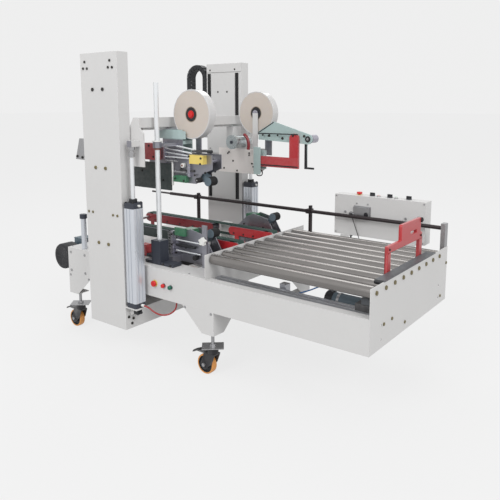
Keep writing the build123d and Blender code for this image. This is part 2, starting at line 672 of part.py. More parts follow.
def lift():
    """The bridge that the cylinders lift along the columns."""
    save("bridge_beam", bridge())
    save("carriages", *carriage(-1), *carriage(1), carriage_tail(), *chain_arm())
    save("cylinder_barrels", cylinder(-1), cylinder(1))
    save("piston_rods", piston_rod(-1), piston_rod(1))
    save("drag_chain", drag_chain())


# ---------------------------------------------------------------- tape heads


def cheek_plates(outline, middle):
    """The two side plates of a head."""
    return [plate_xz(outline, tuple(middle + way for way in across(side, CHEEK))) for side in (-1, 1)]


def spacers(places, middle):
    """Round spacer bars between a head's side plates."""
    return [rod("Y", (x, middle, z), 8, 2 * HEAD_IN) for x, z in places]


def roll_arm(middle, roll_z, foot_z, side=1):
    """The arm from a head's side plate to the tape roll, with its spindle. side is -1 on the front."""
    y = tuple(middle + way for way in across(side, (HEAD_IN - HEAD_PLATE_T, HEAD_IN)))
    arm = block(about(ROLL_X, 36), y, tuple(sorted((foot_z, roll_z))))
    arm += rod("Y", (ROLL_X, sum(y) / 2, roll_z), 18, HEAD_PLATE_T)
    return arm + rod("Y", (ROLL_X, middle + side, roll_z), HUB_BORE_R, 2 * HEAD_IN - 2)


def tape_roll(middle, roll_z, radius):
    """A roll of tape on its hub."""
    roll = rod("Y", (ROLL_X, middle, roll_z), radius, ROLL_W)
    return roll - rod("Y", (ROLL_X, middle, roll_z), HUB_BORE_R + FIT, ROLL_W + 2)


def front_upper_head():
    """The head that slides along the bridge: side plates, hanger, slider, outboard plates, roll arm and bush."""
    y = FRONT_HEAD_Y
    half = CHEEK[1]
    pin = rod("Y", (FRONT_PIVOT[0], y, FRONT_PIVOT[1]), PIVOT_R + FIT, 200)
    plates = [plate - pin for plate in cheek_plates(FRONT_UPPER, y)]
    sides = [tuple(y + way for way in across(side, CHEEK)) for side in (-1, 1)]
    hanger = [block((-240, -100), side, (1045, HANGER_TOP)) for side in sides]
    tie = block((-240, -100), about(y, 2 * HEAD_IN), (1090, 1108))
    slider = block(about(BRIDGE_X, 68), about(y, 2 * HEAD_IN), (1120, HANGER_TOP))
    slider += block(about(BRIDGE_X, 20), about(y, 2 * HEAD_IN), (1108, 1120))
    for side in (-1, 1):
        cheek = tuple(sorted((BRIDGE_X + side * (RAIL_W / 2 + GAP), BRIDGE_X + side * 34)))
        slider += block(cheek, about(y, 56), (HANGER_TOP - 1, HANGER_TOP + 9))
    outboard = y - half
    skirt = block((-470, -180), (outboard - 8, outboard), (850, 990))
    web = block((-337, -215), (outboard - 8, outboard), (990, 1092))
    motor = block((-337, -250), (outboard - 44, outboard - 8), (1006, 1092))
    valve = block((-30, 60), (outboard - 30, outboard), (1000, 1044))
    bush = block((GUIDE_ROD_X - 15, GUIDE_ROD_X + 50), (GUIDE_ROD_Y, outboard), (1082, 1098))
    bush += rod("Z", (GUIDE_ROD_X, GUIDE_ROD_Y, 1090), 22, 30)
    bush -= rod("Z", (GUIDE_ROD_X, GUIDE_ROD_Y, 1090), GUIDE_ROD_R + FIT, 60)
    bars = spacers(((-200, 920), (-200, 1020), (-110, 920), (60, 1010)), y)
    return plates + hanger + [tie, slider, skirt, web, motor, valve, bush, roll_arm(y, ROLL_Z, 1000)] + bars


def rear_upper_head():
    """The head fixed to the bridge: side plates, hanger, roll arm, and the brackets of its roller arm."""
    y = REAR_HEAD_Y
    pin = rod("Y", (REAR_PIVOT[0], y, REAR_PIVOT[1]), PIVOT_R + FIT, 200)
    hanger = block(about(BRIDGE_X, BRIDGE_SIZE), about(y, 2 * HEAD_IN), (1020, HANG_RAIL[0]))
    bracket = block((-24, 24), (y + HEAD_IN - HEAD_PLATE_T, y + HEAD_IN), (1000, REAR_PIVOT[1] + 14)) - pin
    end = block((-20, 30), (y - CHEEK[1], y - HEAD_IN), (928, 1034))
    bars = spacers(((-300, 915), (-300, 1010), (-180, 915), (-60, 1010)), y)
    return cheek_plates(REAR_UPPER, y) + [hanger, bracket, end, roll_arm(y, ROLL_Z, 1020, -1)] + bars


def rear_guard():
    """The L-shaped guard at the rear head's loading side, and the spacer that holds it."""
    y = (ARM_FRONT - 2 - GUARD_T, ARM_FRONT - 2)
    foot = block((-4, 262), y, (945, 1003))
    post = block((206, 262), y, (1003, 1106)) + rod("Y", (234, sum(y) / 2, 1106), 28, GUARD_T)
    return foot, post, block((-4, 26), (y[1], REAR_HEAD_Y - CHEEK[1]), (945, 1003))


def head_cylinder():
    """The stepped air cylinder across the rear head, and the saddle that carries it between the side plates."""
    x, z = HEAD_CYLINDER
    face = REAR_HEAD_Y - HEAD_IN
    disc = rod("Y", (x, face - 96, z), 40, 16)
    body = rod("Y", (x, face - 48, z), 34, 96)
    neck = rod("Y", (x, face + 22, z), 26, 52)
    saddle = block(about(x, 56), about(REAR_HEAD_Y, 2 * HEAD_IN), (1010, 1062))
    return disc + body + neck, saddle - neck


def front_upper_arm():
    """The front head's roller arm with its pivot pin and roller."""
    y = FRONT_HEAD_Y
    arm = link_plate(FRONT_PIVOT, FRONT_ROLLER, about(y, 40), 14)
    arm += rod("Y", (FRONT_PIVOT[0], y, FRONT_PIVOT[1]), PIVOT_R, 2 * CHEEK[1] + 4)
    return arm + rod("Y", (FRONT_ROLLER[0], y, FRONT_ROLLER[1]), 22, 54)


def rear_upper_arm():
    """The rear head's roller arm: plate in front of the tape roll, pivot pin, roller, hanging post and feeler."""
    y = REAR_HEAD_Y
    arm = plate_xz(REAR_ARM, (ARM_FRONT, ARM_FRONT + 8))
    arm += rod("Y", (REAR_ROLLER[0], ARM_FRONT + 4, REAR_ROLLER[1]), 27, 8)
    pin = (ARM_FRONT, y + HEAD_IN + 2)
    arm += rod("Y", (REAR_PIVOT[0], sum(pin) / 2, REAR_PIVOT[1]), PIVOT_R, pin[1] - pin[0])
    arm += rod("Y", (REAR_ROLLER[0], (ARM_FRONT + y) / 2, REAR_ROLLER[1]), 10, y - ARM_FRONT)
    arm += rod("Y", (REAR_ROLLER[0], y, REAR_ROLLER[1]), 22, 56)
    post_y = (ARM_FRONT + 8, ARM_FRONT + 16)
    arm += block((REAR_ROLLER[0] - 24, REAR_ROLLER[0] - 10), (ARM_FRONT + 7, post_y[1]), (945, REAR_ROLLER[1]))
    return arm + block((REAR_ROLLER[0] - 24, REAR_ROLLER[0] + 33), post_y, (945, 955))


def link_plate(start, end, y, half):
    """A bar with round ends from one pivot to another."""
    length = math.dist(start, end)
    angle = math.degrees(math.atan2(end[1] - start[1], end[0] - start[0]))
    bar = extrude(SlotCenterToCenter(length, 2 * half), (y[1] - y[0]) / 2, both=True)
    place = Pos((start[0] + end[0]) / 2, sum(y) / 2, (start[1] + end[1]) / 2)
    return place * Rot(0, -angle, 0) * Rot(90, 0, 0) * bar


def lower_head(middle, float_z):
    """A lower head: side plates, spacers, blade block and the arm that holds its tape roll under the deck."""
    outline = [(x, max(z, DECK_TOP + float_z)) for x, z in LOW_OUTLINE]
    pin = rod("Y", (LOW_PIVOT[0], middle, LOW_PIVOT[1]), PIVOT_R + FIT, 200)
    plates = [plate - pin for plate in cheek_plates(outline, middle)]
    blade = block((-118, -62), about(middle, 2 * HEAD_IN), (622, 655))
    bars = spacers(((-175, 520), (-90, 600), (60, 520)), middle)
    return plates + [blade, roll_arm(middle, LOW_ROLL_Z, 500)] + bars


def lower_arm(middle):
    """A lower head's roller arm with its pivot pin and roller."""
    arm = link_plate(LOW_PIVOT, LOW_ROLLER, about(middle, 36), 12)
    arm += rod("Y", (LOW_PIVOT[0], middle, LOW_PIVOT[1]), PIVOT_R, 2 * CHEEK[1] + 2)
    return arm + rod("Y", (LOW_ROLLER[0], middle, LOW_ROLLER[1]), 22, 50)


def front_lower_extras():
    """The sleeve block under the guide rod, its link to the head, and the bent post with the clamp's boss."""
    base = DECK_TOP + LOW_FLOAT
    outboard = FRONT_HEAD_Y - CHEEK[1]
    sleeve = block(about(GUIDE_ROD_X, 64), about(GUIDE_ROD_Y, 60), (base, SLEEVE_TOP))
    link = block((GUIDE_ROD_X - 26, GUIDE_ROD_X + 60), (GUIDE_ROD_Y + 30, outboard), (base, 520))
    post = block((52, 82), (outboard - 34, outboard - 26), (base, 700))
    post += block((52, 82), (outboard - 34, outboard), (base, base + 8))
    post -= rod("Y", (67, outboard - 30, STAR_Z), STAR_STEM_R + FIT, 20)
    return sleeve, link, post


def guide_rod():
    """The tall chrome rod that makes the upper and lower front heads slide together."""
    middle = (GUIDE_ROD_X, GUIDE_ROD_Y, (SLEEVE_TOP + GUIDE_ROD_TOP) / 2)
    return rod("Z", middle, GUIDE_ROD_R, GUIDE_ROD_TOP - SLEEVE_TOP)


def star_knob():
    """The five-lobed clamp knob on the front head's post."""
    y = FRONT_HEAD_Y - CHEEK[1] - 34 - 12
    knob = rod("Y", (67, y, STAR_Z), 15, 18)
    for index in range(5):
        angle = math.radians(90 + 72 * index)
        knob += rod("Y", (67 + 15 * math.cos(angle), y, STAR_Z + 15 * math.sin(angle)), 6.5, 16)
    return knob + rod("Y", (67, y + 14, STAR_Z), STAR_STEM_R, 28)


def heads():
    """The four tape heads."""
    save("front_upper_head", *front_upper_head())
    save("rear_upper_head", *rear_upper_head(), *rear_guard(), *head_cylinder())
    save("front_lower_head", *lower_head(FRONT_HEAD_Y, LOW_FLOAT), *front_lower_extras(), guide_rod())
    save("rear_lower_head", *lower_head(REAR_HEAD_Y, 0.0), block((-262, -202), (226, 262), (DECK_TOP, 598)))
    save("upper_front_tape_roll", tape_roll(FRONT_HEAD_Y, ROLL_Z, ROLL_R))
    save("upper_rear_tape_roll", tape_roll(REAR_HEAD_Y, ROLL_Z, ROLL_R))
    save("lower_front_tape_roll", tape_roll(FRONT_HEAD_Y, LOW_ROLL_Z, LOW_ROLL_R))
    save("lower_rear_tape_roll", tape_roll(REAR_HEAD_Y, LOW_ROLL_Z, LOW_ROLL_R))
    save("upper_front_roller_arm", front_upper_arm())
    save("upper_rear_roller_arm", rear_upper_arm())
    save("lower_front_roller_arm", lower_arm(FRONT_HEAD_Y))
    save("lower_rear_roller_arm", lower_arm(REAR_HEAD_Y))
    save("star_knob", star_knob())


# ---------------------------------------------------------------- guide rail and controls


def guide_rail():
    """The carton guide: a bar along the back, held by two clamp posts and an end post."""
    end = FRAME_RIGHT - SHEET
    middle = ((FRAME_LEFT + end) / 2, GUIDE_BAR_Y, GUIDE_BAR_Z)
    bar = rod("X", middle, GUIDE_BAR_R, end - FRAME_LEFT)
    tail_x = (GUIDE_TAIL_LEFT, FRAME_LEFT)
    bar += rod("X", (sum(tail_x) / 2, GUIDE_BAR_Y, GUIDE_BAR_Z), GUIDE_TAIL_R, tail_x[1] - tail_x[0] + 4)
    posts = [block((end - 22, end), (GUIDE_BAR_Y - 14, HALF_WIDTH), (BEAM_TOP, 716))]
    for x, base, top in ((-616, DECK_TOP, 716), (245, BEAM_TOP, 722)):
        post = block(about(x, 14), (GUIDE_BAR_Y + 6, HALF_WIDTH), (base, top))
        posts.append(post + block(about(x, 30), (GUIDE_BAR_Y - 14, HALF_WIDTH), about(GUIDE_BAR_Z, 26)))
    bore = rod("X", middle, GUIDE_BAR_R + FIT, 2 * (end - FRAME_LEFT))
    return [bar] + [post - bore for post in posts]


def control_box():
    """The closed box behind the table, open only where its buttons and knobs pass through."""
    sides = ((BOX_LEFT, BOX_RIGHT), (BOX_FRONT, BOX_BACK), (BOX_BOTTOM, BOX_TOP))
    wall = SHEET / 2
    box = block(*sides) - block(*[(low + wall, high - wall) for low, high in sides])
    for x, radius in [(STOP_X, BUTTON_STEM_R)] + [(x, KNOB_STEM_R) for x in KNOB_X]:
        box -= rod("Z", (x, CONTROL_Y, BOX_TOP), radius + FIT, 20)
    return box


def box_leg(x):
    """A folded strap that carries the control box from the back beam."""
    strap = block(about(x, 50), (HALF_WIDTH, HALF_WIDTH + 5), (BEAM_BOTTOM + 40, BOX_BOTTOM - 5))
    return strap + block(about(x, 50), (HALF_WIDTH, BOX_FRONT + 30), (BOX_BOTTOM - 5, BOX_BOTTOM))


def lamps():
    """Two indicator lamps on the control box."""
    return [rod("Z", (x, CONTROL_Y, BOX_TOP + 4), 8, 8) for x in LAMP_X]


def limit_switch():
    """The limit switch's body on the control box's front, with the lever's boss."""
    body = block((512, 604), (SWITCH_FRONT, SWITCH_BACK), (684, 742))
    x, z = SWITCH_PIVOT
    body += rod("Y", (x, (SWITCH_FRONT + SWITCH_BACK) / 2, z), 16, SWITCH_BACK - SWITCH_FRONT)
    return body - rod("Y", (x, SWITCH_FRONT, z), 4 + FIT, 24)


def switch_lever():
    """The limit switch's lever: a hub and a long thin whisker."""
    x, z = SWITCH_PIVOT
    hub = rod("Y", (x, SWITCH_FRONT - 3.5, z), 8, 5)
    pin = rod("Y", (x, SWITCH_FRONT + 2, z), 4, 14)
    length = math.dist(SWITCH_PIVOT, LEVER_TIP)
    lean = math.degrees(math.atan2(LEVER_TIP[0] - x, z - LEVER_TIP[1]))
    place = Pos((x + LEVER_TIP[0]) / 2, SWITCH_FRONT - 3.5, (z + LEVER_TIP[1]) / 2)
    whisker = place * Rot(0, -lean, 0) * Cylinder(2, length)
    return hub + pin + whisker


def push_button(radius):
    """A push button pointing down along its own Z, its cap above the panel and its stem through it."""
    cap = Pos(0, 0, BUTTON_TRAVEL + 2 + 5) * Cylinder(radius, 10)
    cap = cap.fillet(2.5, cap.edges().filter_by(GeomType.CIRCLE).group_by(Axis.Z)[-1])
    stem_length = BUTTON_TRAVEL + 2 + 16
    return cap + Pos(0, 0, BUTTON_TRAVEL + 2 - stem_length / 2 + 0.5) * Cylinder(BUTTON_STEM_R, stem_length)


def selector_knob():
    """A selector knob with a raised grip."""
    knob = Pos(0, 0, 6.5) * Cylinder(14, 10)
    knob += Pos(0, 0, 14) * Box(26, 8, 9)
    return knob + Pos(0, 0, -4) * Cylinder(KNOB_STEM_R, 16)


def controls():
    """The guide rail, control box, buttons and knobs."""
    save("guide_rail", *guide_rail())
    legs_ = [box_leg(x) for x in (BOX_LEFT + 70, BOX_RIGHT - 70)]
    save("control_box", control_box(), limit_switch(), *legs_, *lamps())
    save("switch_lever", switch_lever())
    for name, x, radius in BEAM_BUTTONS:
        save(name, Pos(x, -HALF_WIDTH, BUTTON_Z) * Rot(90, 0, 0) * push_button(radius))
    save("box_stop_button", Pos(STOP_X, CONTROL_Y, BOX_TOP) * push_button(15))
    for index, x in enumerate(KNOB_X):
        save(f"selector_knob_{index + 1}", Pos(x, CONTROL_Y, BOX_TOP) * selector_knob())


# ---------------------------------------------------------------- casters


def caster_fork(x, y):
    """A swivelling fork: race, crown, two cheeks down to the axle, axle nuts and the brake pedal."""
    crown_top = PLATE_Z - 4 - GAP
    inner = WHEEL_W / 2 + 3
    crown_low = 2 * WHEEL_R + 8
    fork = rod("Z", (x, y, (crown_top + crown_low + 6) / 2), 27, crown_top - crown_low - 6)
    fork += block((x - 40, x + 27), about(y, 2 * inner + 6), (crown_low, crown_low + 6))
    outline = [(27, crown_low), (8, 60), (-14, 44), (-62, 44), (-40, crown_low)]
    for sign in (-1, 1):
        side = tuple(sorted((y + sign * inner, y + sign * (inner + 3))))
        fork += plate_xz([(x + px, pz) for px, pz in outline], side)
        fork += rod("Y", (x - WHEEL_TRAIL, sum(side) / 2, WHEEL_R), 24, 3)
        fork += hexagon_head("Y", (x - WHEEL_TRAIL, y + sign * (inner + 7), WHEEL_R), 17, 8)
    fork += rod("Y", (x - WHEEL_TRAIL, y, WHEEL_R), AXLE_R, 2 * inner + 2)
    pedal = block((x - 84, x - 36), about(y, 2 * inner + 6), (crown_low, crown_low + 5))
    pedal += Pos(x - 98, y, crown_low - 4) * Rot(0, -25, 0) * Box(44, 34, 5)
    return fork + pedal


def caster_wheel(x, y):
    """A tread on a core, with the axle's bore."""
    wheel = rod("Y", (x - WHEEL_TRAIL, y, WHEEL_R), WHEEL_R, WHEEL_W)
    wheel = wheel.fillet(6, wheel.edges().filter_by(GeomType.CIRCLE))
    return wheel - rod("Y", (x - WHEEL_TRAIL, y, WHEEL_R), AXLE_R + FIT, WHEEL_W + 4)


def casters():
    """Four braked casters."""
    for name, place in zip(CASTER_NAMES, LEGS):
        x, y = stem_place(*place)
        save(f"{name}_caster_fork", caster_fork(x, y))
        save(f"{name}_caster_wheel", caster_wheel(x, y))


# ---------------------------------------------------------------- bolts and hose


def bolts():
    """The hexagon heads on the columns, end panel, left end and control box."""
    heads_ = []
    for index in range(ROLLER_COUNT):
        heads_.append(hexagon_head("X", (FRAME_RIGHT + 2.5, roller_y(index), ROLLER_Z), 17, 5))
    column_middle = COLUMN_LEFT + COLUMN_WIDTH / 2
    for side in (-1, 1):
        for z in COLUMN_BOLT_Z:
            for x in about(column_middle - 10, 77):
                heads_.append(hexagon_head("Y", (x, side * (COLUMN_OUTER + 2.5), z), 16, 5))
        for x in (FRAME_LEFT + 27, FRAME_LEFT + 152):
            for z in about((BEAM_BOTTOM + BEAM_TOP) / 2, 105):
                heads_.append(hexagon_head("Y", (x, side * (HALF_WIDTH + 2), z), 13, 4))
        for x in CLUSTER_X:
            for dx, dz in ((0, 0), (-13, -32), (17, -33)):
                heads_.append(hexagon_head("Y", (x + dx, side * (COLUMN_OUTER + 2), CLUSTER_Z + dz), 12, 4))
            for dx in about(0, 33):
                heads_.append(hexagon_head("Y", (x + dx, side * (COLUMN_OUTER + 2), CLUSTER_Z - 758), 12, 4))
    for y, z in ((-85, 368), (346, 368), (-221, 425), (-299, 425), (412, 519)):
        heads_.append(hexagon_head("X", (FRAME_RIGHT + 2, y, z), 13, 4))
    for x in BOX_BOLT_X:
        heads_.append(hexagon_head("Y", (x, BOX_FRONT - 2, BOX_TOP - 94), 13, 4))
    return heads_


def hose_gland():
    """The fitting under the front beam that the air hose goes into."""
    x, y, z = HOSE_END
    return rod("Z", (x, y, (z + BEAM_BOTTOM) / 2), 7.5, BEAM_BOTTOM - z)


def air_hose():
    """The free air hose: straight runs joined by tangent arcs."""
    route = [Vector(*HOSE_START) + Vector(*step) for step in FROM_START]
    route += [Vector(*HOSE_END) + Vector(*step) for step in FROM_END]
    runs = [(end - start).length for start, end in zip(route, route[1:])]
    radii = []
    for index in range(1, len(route) - 1):
        turn = (route[index] - route[index - 1]).get_angle(route[index + 1] - route[index])
        shorter = min(runs[index - 1], runs[index])
        radii.append(0.45 * shorter / math.tan(math.radians(turn) / 2))
    path = FilletPolyline(*route, radius=radii)
    hose = sweep(Plane(origin=path @ 0, z_dir=path % 0) * Circle(HOSE_R), path=path)
    straight_volume = math.pi * HOSE_R**2 * path.length
    print("hose radii", [round(radius) for radius in radii], "length", round(path.length, 1))
    print("hose volume against section times length", round(hose.volume / straight_volume, 4))
    return hose


def details():
    """Bolts and the air hose."""
    save("frame_bolts", *bolts(), hose_gland())
    save("air_hose", air_hose())


os.makedirs("parts", exist_ok=True)
frame()
table()
belts()
lift()
heads()
controls()
casters()
details()
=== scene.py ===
"""Visual model of a carton edge sealer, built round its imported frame.

Sizes are in millimetres, except in node trees, the studio and where a name says m.
"""

import json
import logging
import math
from dataclasses import dataclass
from enum import Enum
from typing import Iterable, Optional, Sequence

import bmesh
import bpy
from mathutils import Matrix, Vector

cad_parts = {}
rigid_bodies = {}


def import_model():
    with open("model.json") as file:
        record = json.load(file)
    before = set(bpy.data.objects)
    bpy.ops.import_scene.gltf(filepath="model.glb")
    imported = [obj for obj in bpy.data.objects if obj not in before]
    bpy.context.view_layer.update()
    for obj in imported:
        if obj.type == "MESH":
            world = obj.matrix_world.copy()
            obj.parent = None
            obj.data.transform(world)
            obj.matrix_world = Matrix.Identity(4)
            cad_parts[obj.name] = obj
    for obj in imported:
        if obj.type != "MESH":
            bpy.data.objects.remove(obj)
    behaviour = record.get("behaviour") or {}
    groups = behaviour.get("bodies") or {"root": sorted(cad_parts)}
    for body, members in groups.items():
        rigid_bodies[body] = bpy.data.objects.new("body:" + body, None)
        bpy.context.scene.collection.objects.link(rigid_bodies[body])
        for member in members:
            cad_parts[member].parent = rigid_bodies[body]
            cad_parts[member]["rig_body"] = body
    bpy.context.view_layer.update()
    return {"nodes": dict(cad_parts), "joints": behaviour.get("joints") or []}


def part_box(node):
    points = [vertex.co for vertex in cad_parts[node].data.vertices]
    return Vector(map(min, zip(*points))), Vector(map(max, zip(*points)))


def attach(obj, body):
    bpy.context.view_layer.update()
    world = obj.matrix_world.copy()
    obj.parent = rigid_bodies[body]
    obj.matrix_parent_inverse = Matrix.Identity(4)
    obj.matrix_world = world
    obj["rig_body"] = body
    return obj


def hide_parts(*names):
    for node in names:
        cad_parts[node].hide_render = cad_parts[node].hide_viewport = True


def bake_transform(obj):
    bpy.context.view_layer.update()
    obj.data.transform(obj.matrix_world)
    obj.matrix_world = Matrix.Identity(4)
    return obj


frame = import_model()

MM = 0.001
Point = tuple[float, float, float]
Range = tuple[float, float]
Color = tuple[float, float, float]
log = logging.getLogger("carton_sealer")


class Along(Enum):
    """The axis that a turned or extruded shape follows."""

    X = 0
    Y = 1
    Z = 2

    def place(self, across_a: float, across_b: float, along: float) -> Point:
        """Puts two cross-section values and a value along the axis in X, Y, Z order.

        Args:
            across_a: The value on the first axis after this one.
            across_b: The value on the second axis after this one.
            along: The value on this axis.

        Returns:
            The point in X, Y, Z order.
        """
        spot = [0.0, 0.0, 0.0]
        spot[self.value] = along
        spot[(self.value + 1) % 3] = across_a
        spot[(self.value + 2) % 3] = across_b
        return (spot[0], spot[1], spot[2])


# ------------------------------------------------------------------ node trees


class Wiring:
    """A node tree being built: adds nodes, sets their sockets and joins them."""

    def __init__(self, tree: bpy.types.NodeTree) -> None:
        """Starts on an empty tree."""
        self.tree = tree
        tree.nodes.clear()

    def node(self, kind: str, settings: Optional[dict] = None, **sockets: object) -> bpy.types.Node:
        """Adds a node.

        Args:
            kind: The node's type name.
            settings: Properties of the node.
            **sockets: Values or output sockets for its inputs, by name with _ for a space.

        Returns:
            The new node.
        """
        made = self.tree.nodes.new(kind)
        for name, value in (settings or {}).items():
            setattr(made, name, value)
        for name, value in sockets.items():
            self.feed(made.inputs[name.replace("_", " ")], value)
        return made

    def feed(self, socket: bpy.types.NodeSocket, value: object) -> None:
        """Joins an output to an input socket, or sets the socket's value."""
        if isinstance(value, bpy.types.NodeSocket):
            self.tree.links.new(value, socket)
        else:
            socket.default_value = value

    def math(self, operation: str, first: object, second: object = 0.0) -> bpy.types.NodeSocket:
        """Adds a Math node and returns its output."""
        made = self.tree.nodes.new("ShaderNodeMath")
        made.operation = operation
        self.feed(made.inputs[0], first)
        self.feed(made.inputs[1], second)
        return made.outputs[0]


# ------------------------------------------------------------------ finishes


class Surface(Enum):
    """How a finish is worked: which fine pattern it carries."""

    POWDER = "powder coat"
    BRUSHED = "brushed metal"
    CAST = "cast or moulded"
    POLISHED = "polished"
    WOUND = "wound tape"
    WOVEN = "woven belt"


@dataclass(frozen=True)
class Finish:
    """A finish with its colour and the pattern that its surface carries."""

    name: str
    color: Color
    surface: Surface
    roughness: float = 0.5
    metallic: float = 0.0
    drift: float = 0.06
    grain: float = 700.0
    depth: float = 0.12
    coat: float = 0.0
    wear: float = 0.0
    streak: Along = Along.X
    soft: float = 0.0

    def material(self) -> bpy.types.Material:
        """Returns the finish's material, made on first use."""
        made = bpy.data.materials.get(self.name)
        return made if made else self._make()

    def _make(self) -> bpy.types.Material:
        """Builds the node tree: colour drift, wear, roughness and bump."""
        made = bpy.data.materials.new(self.name)
        made.use_nodes = True
        made.diffuse_color = (*self.color, 1.0)
        wires = Wiring(made.node_tree)
        space = wires.node("ShaderNodeTexCoord").outputs["Object"]
        broad = wires.node(
            "ShaderNodeTexNoise", Vector=space, Scale=5.0, Detail=4.0, Roughness=0.6
        ).outputs["Fac"]
        fine = self._fine(wires, space)
        shade = wires.node(
            "ShaderNodeMapRange", Value=broad, To_Min=1.0 - self.drift, To_Max=1.0 + self.drift * 0.6
        )
        color = self._tinted(wires, shade.outputs[0], fine)
        if self.wear:
            color = self._worn(wires, space, color)
        rough = wires.node(
            "ShaderNodeMapRange",
            Value=wires.math("ADD", broad, wires.math("MULTIPLY", fine, 0.5)),
            From_Min=0.3,
            From_Max=1.1,
            To_Min=max(0.02, self.roughness - 0.09),
            To_Max=min(1.0, self.roughness + 0.09),
        ).outputs[0]
        bump = wires.node("ShaderNodeBump", Strength=self.depth, Distance=0.0006, Height=fine)
        shader = wires.node(
            "ShaderNodeBsdfPrincipled", Base_Color=color, Roughness=rough, Normal=bump.outputs[0]
        )
        shader.inputs["Metallic"].default_value = self.metallic
        shader.inputs["Coat Weight"].default_value = self.coat
        shader.inputs["Coat Roughness"].default_value = 0.18
        if self.soft:
            shader.inputs["Subsurface Weight"].default_value = self.soft
            shader.inputs["Subsurface Radius"].default_value = (0.012, 0.008, 0.004)
            shader.inputs["Subsurface Scale"].default_value = 1.0
        wires.node("ShaderNodeOutputMaterial", Surface=shader.outputs[0])
        return made

    def _fine(self, wires: Wiring, space: bpy.types.NodeSocket) -> bpy.types.NodeSocket:
        """The fine pattern of this kind of surface, as a height from 0 to 1."""
        if self.surface is Surface.BRUSHED:
            stretch = [1.0, 1.0, 1.0]
            stretch[self.streak.value] = 0.02
            turned = wires.node("ShaderNodeMapping", Vector=space, Scale=tuple(stretch)).outputs[0]
            return wires.node(
                "ShaderNodeTexNoise", Vector=turned, Scale=self.grain, Detail=3.0
            ).outputs["Fac"]
        if self.surface is Surface.WOVEN:
            ribs = wires.node(
                "ShaderNodeTexWave", {"bands_direction": "X"}, Vector=space, Scale=self.grain / 6
            )
            cords = wires.node(
                "ShaderNodeTexWave", {"bands_direction": "Y"}, Vector=space, Scale=self.grain / 6
            )
            return wires.math("MULTIPLY", ribs.outputs["Fac"], cords.outputs["Fac"])
        if self.surface is Surface.WOUND:
            radius = wires.node("ShaderNodeAttribute", {"attribute_name": "ring"}).outputs["Fac"]
            layers = wires.node(
                "ShaderNodeTexNoise", {"noise_dimensions": "1D"}, W=radius, Scale=self.grain, Detail=2.0
            )
            return layers.outputs["Fac"]
        if self.surface is Surface.CAST:
            cells = wires.node("ShaderNodeTexVoronoi", Vector=space, Scale=self.grain)
            grain = wires.node("ShaderNodeTexNoise", Vector=space, Scale=self.grain * 0.4, Detail=5.0)
            return wires.math(
                "MULTIPLY", wires.math("ADD", cells.outputs["Distance"], grain.outputs["Fac"]), 0.6
            )
        detail = 5.0 if self.surface is Surface.POWDER else 1.0
        return wires.node(
            "ShaderNodeTexNoise", Vector=space, Scale=self.grain, Detail=detail
        ).outputs["Fac"]

    def _tinted(
        self, wires: Wiring, shade: bpy.types.NodeSocket, fine: bpy.types.NodeSocket
    ) -> bpy.types.NodeSocket:
        """The base colour, made lighter and darker by the drift and a little by the fine pattern."""
        speck = wires.node(
            "ShaderNodeMapRange", Value=fine, To_Min=1.0 - self.drift * 0.5, To_Max=1.0 + self.drift * 0.5
        )
        both = wires.math("MULTIPLY", shade, speck.outputs[0])
        mixed = wires.node("ShaderNodeVectorMath", {"operation": "SCALE"}, Scale=both)
        mixed.inputs[0].default_value = self.color
        return mixed.outputs[0]

    def _worn(
        self, wires: Wiring, space: bpy.types.NodeSocket, color: bpy.types.NodeSocket
    ) -> bpy.types.NodeSocket:
        """Lightens worn edges."""
        edge = wires.node("ShaderNodeNewGeometry").outputs["Pointiness"]
        patch = wires.node("ShaderNodeTexNoise", Vector=space, Scale=60.0, Detail=6.0).outputs["Fac"]
        raised = wires.math("MULTIPLY", wires.math("SUBTRACT", edge, 0.52), 9.0)
        amount = wires.math("MULTIPLY", wires.math("MULTIPLY", raised, patch), self.wear)
        level = wires.node("ShaderNodeMapRange", Value=amount, To_Max=1.0, From_Max=1.0).outputs[0]
        mixed = wires.node("ShaderNodeMix", {"data_type": "RGBA"})
        wires.feed(mixed.inputs["Factor"], level)
        wires.feed(mixed.inputs[6], color)
        bare = tuple(min(1.0, channel * 0.4 + 0.45) for channel in self.color)
        mixed.inputs[7].default_value = (*bare, 1.0)
        return mixed.outputs[2]


PAINT = Finish(
    "light grey powder coat",
    (0.60, 0.595, 0.59),
    Surface.POWDER,
    0.40,
    drift=0.04,
    grain=900,
    depth=0.10,
    wear=0.5,
)
PAINT_IN = Finish(
    "light grey paint, joints", (0.30, 0.295, 0.29), Surface.POWDER, 0.55, drift=0.06, grain=900
)
# Painted light: a paler, warmer copy of the grey paint for the rear head's cheek plate, made light to stand
# in for light on a plate that lies in shade.
PAINTED_LIGHT_PLATE = Finish(
    "plate paint lightened as painted light", (0.84, 0.79, 0.76), Surface.POWDER, 0.30, drift=0.05, grain=700, wear=0.5
)
GREY_PLATE = Finish(
    "dark slate table edge", (0.045, 0.052, 0.062), Surface.POWDER, 0.40, drift=0.12, grain=500, wear=0.3
)
TEAL = Finish("teal grey paint", (0.36, 0.47, 0.46), Surface.POWDER, 0.34, drift=0.06, wear=0.6)
RED = Finish(
    "red enamel",
    (0.44, 0.016, 0.022),
    Surface.POWDER,
    0.30,
    drift=0.10,
    grain=400,
    depth=0.06,
    coat=0.5,
    wear=0.4,
)
DEEP_RED = Finish(
    "dark red enamel",
    (0.22, 0.012, 0.018),
    Surface.POWDER,
    0.32,
    drift=0.12,
    grain=400,
    depth=0.06,
    coat=0.4,
)
GREEN = Finish(
    "green enamel",
    (0.008, 0.13, 0.05),
    Surface.POWDER,
    0.34,
    drift=0.08,
    grain=400,
    depth=0.06,
    coat=0.4,
    wear=0.4,
)
YELLOW = Finish(
    "yellow enamel",
    (0.74, 0.56, 0.10),
    Surface.POWDER,
    0.34,
    drift=0.06,
    grain=400,
    depth=0.06,
    coat=0.4,
    wear=0.4,
)
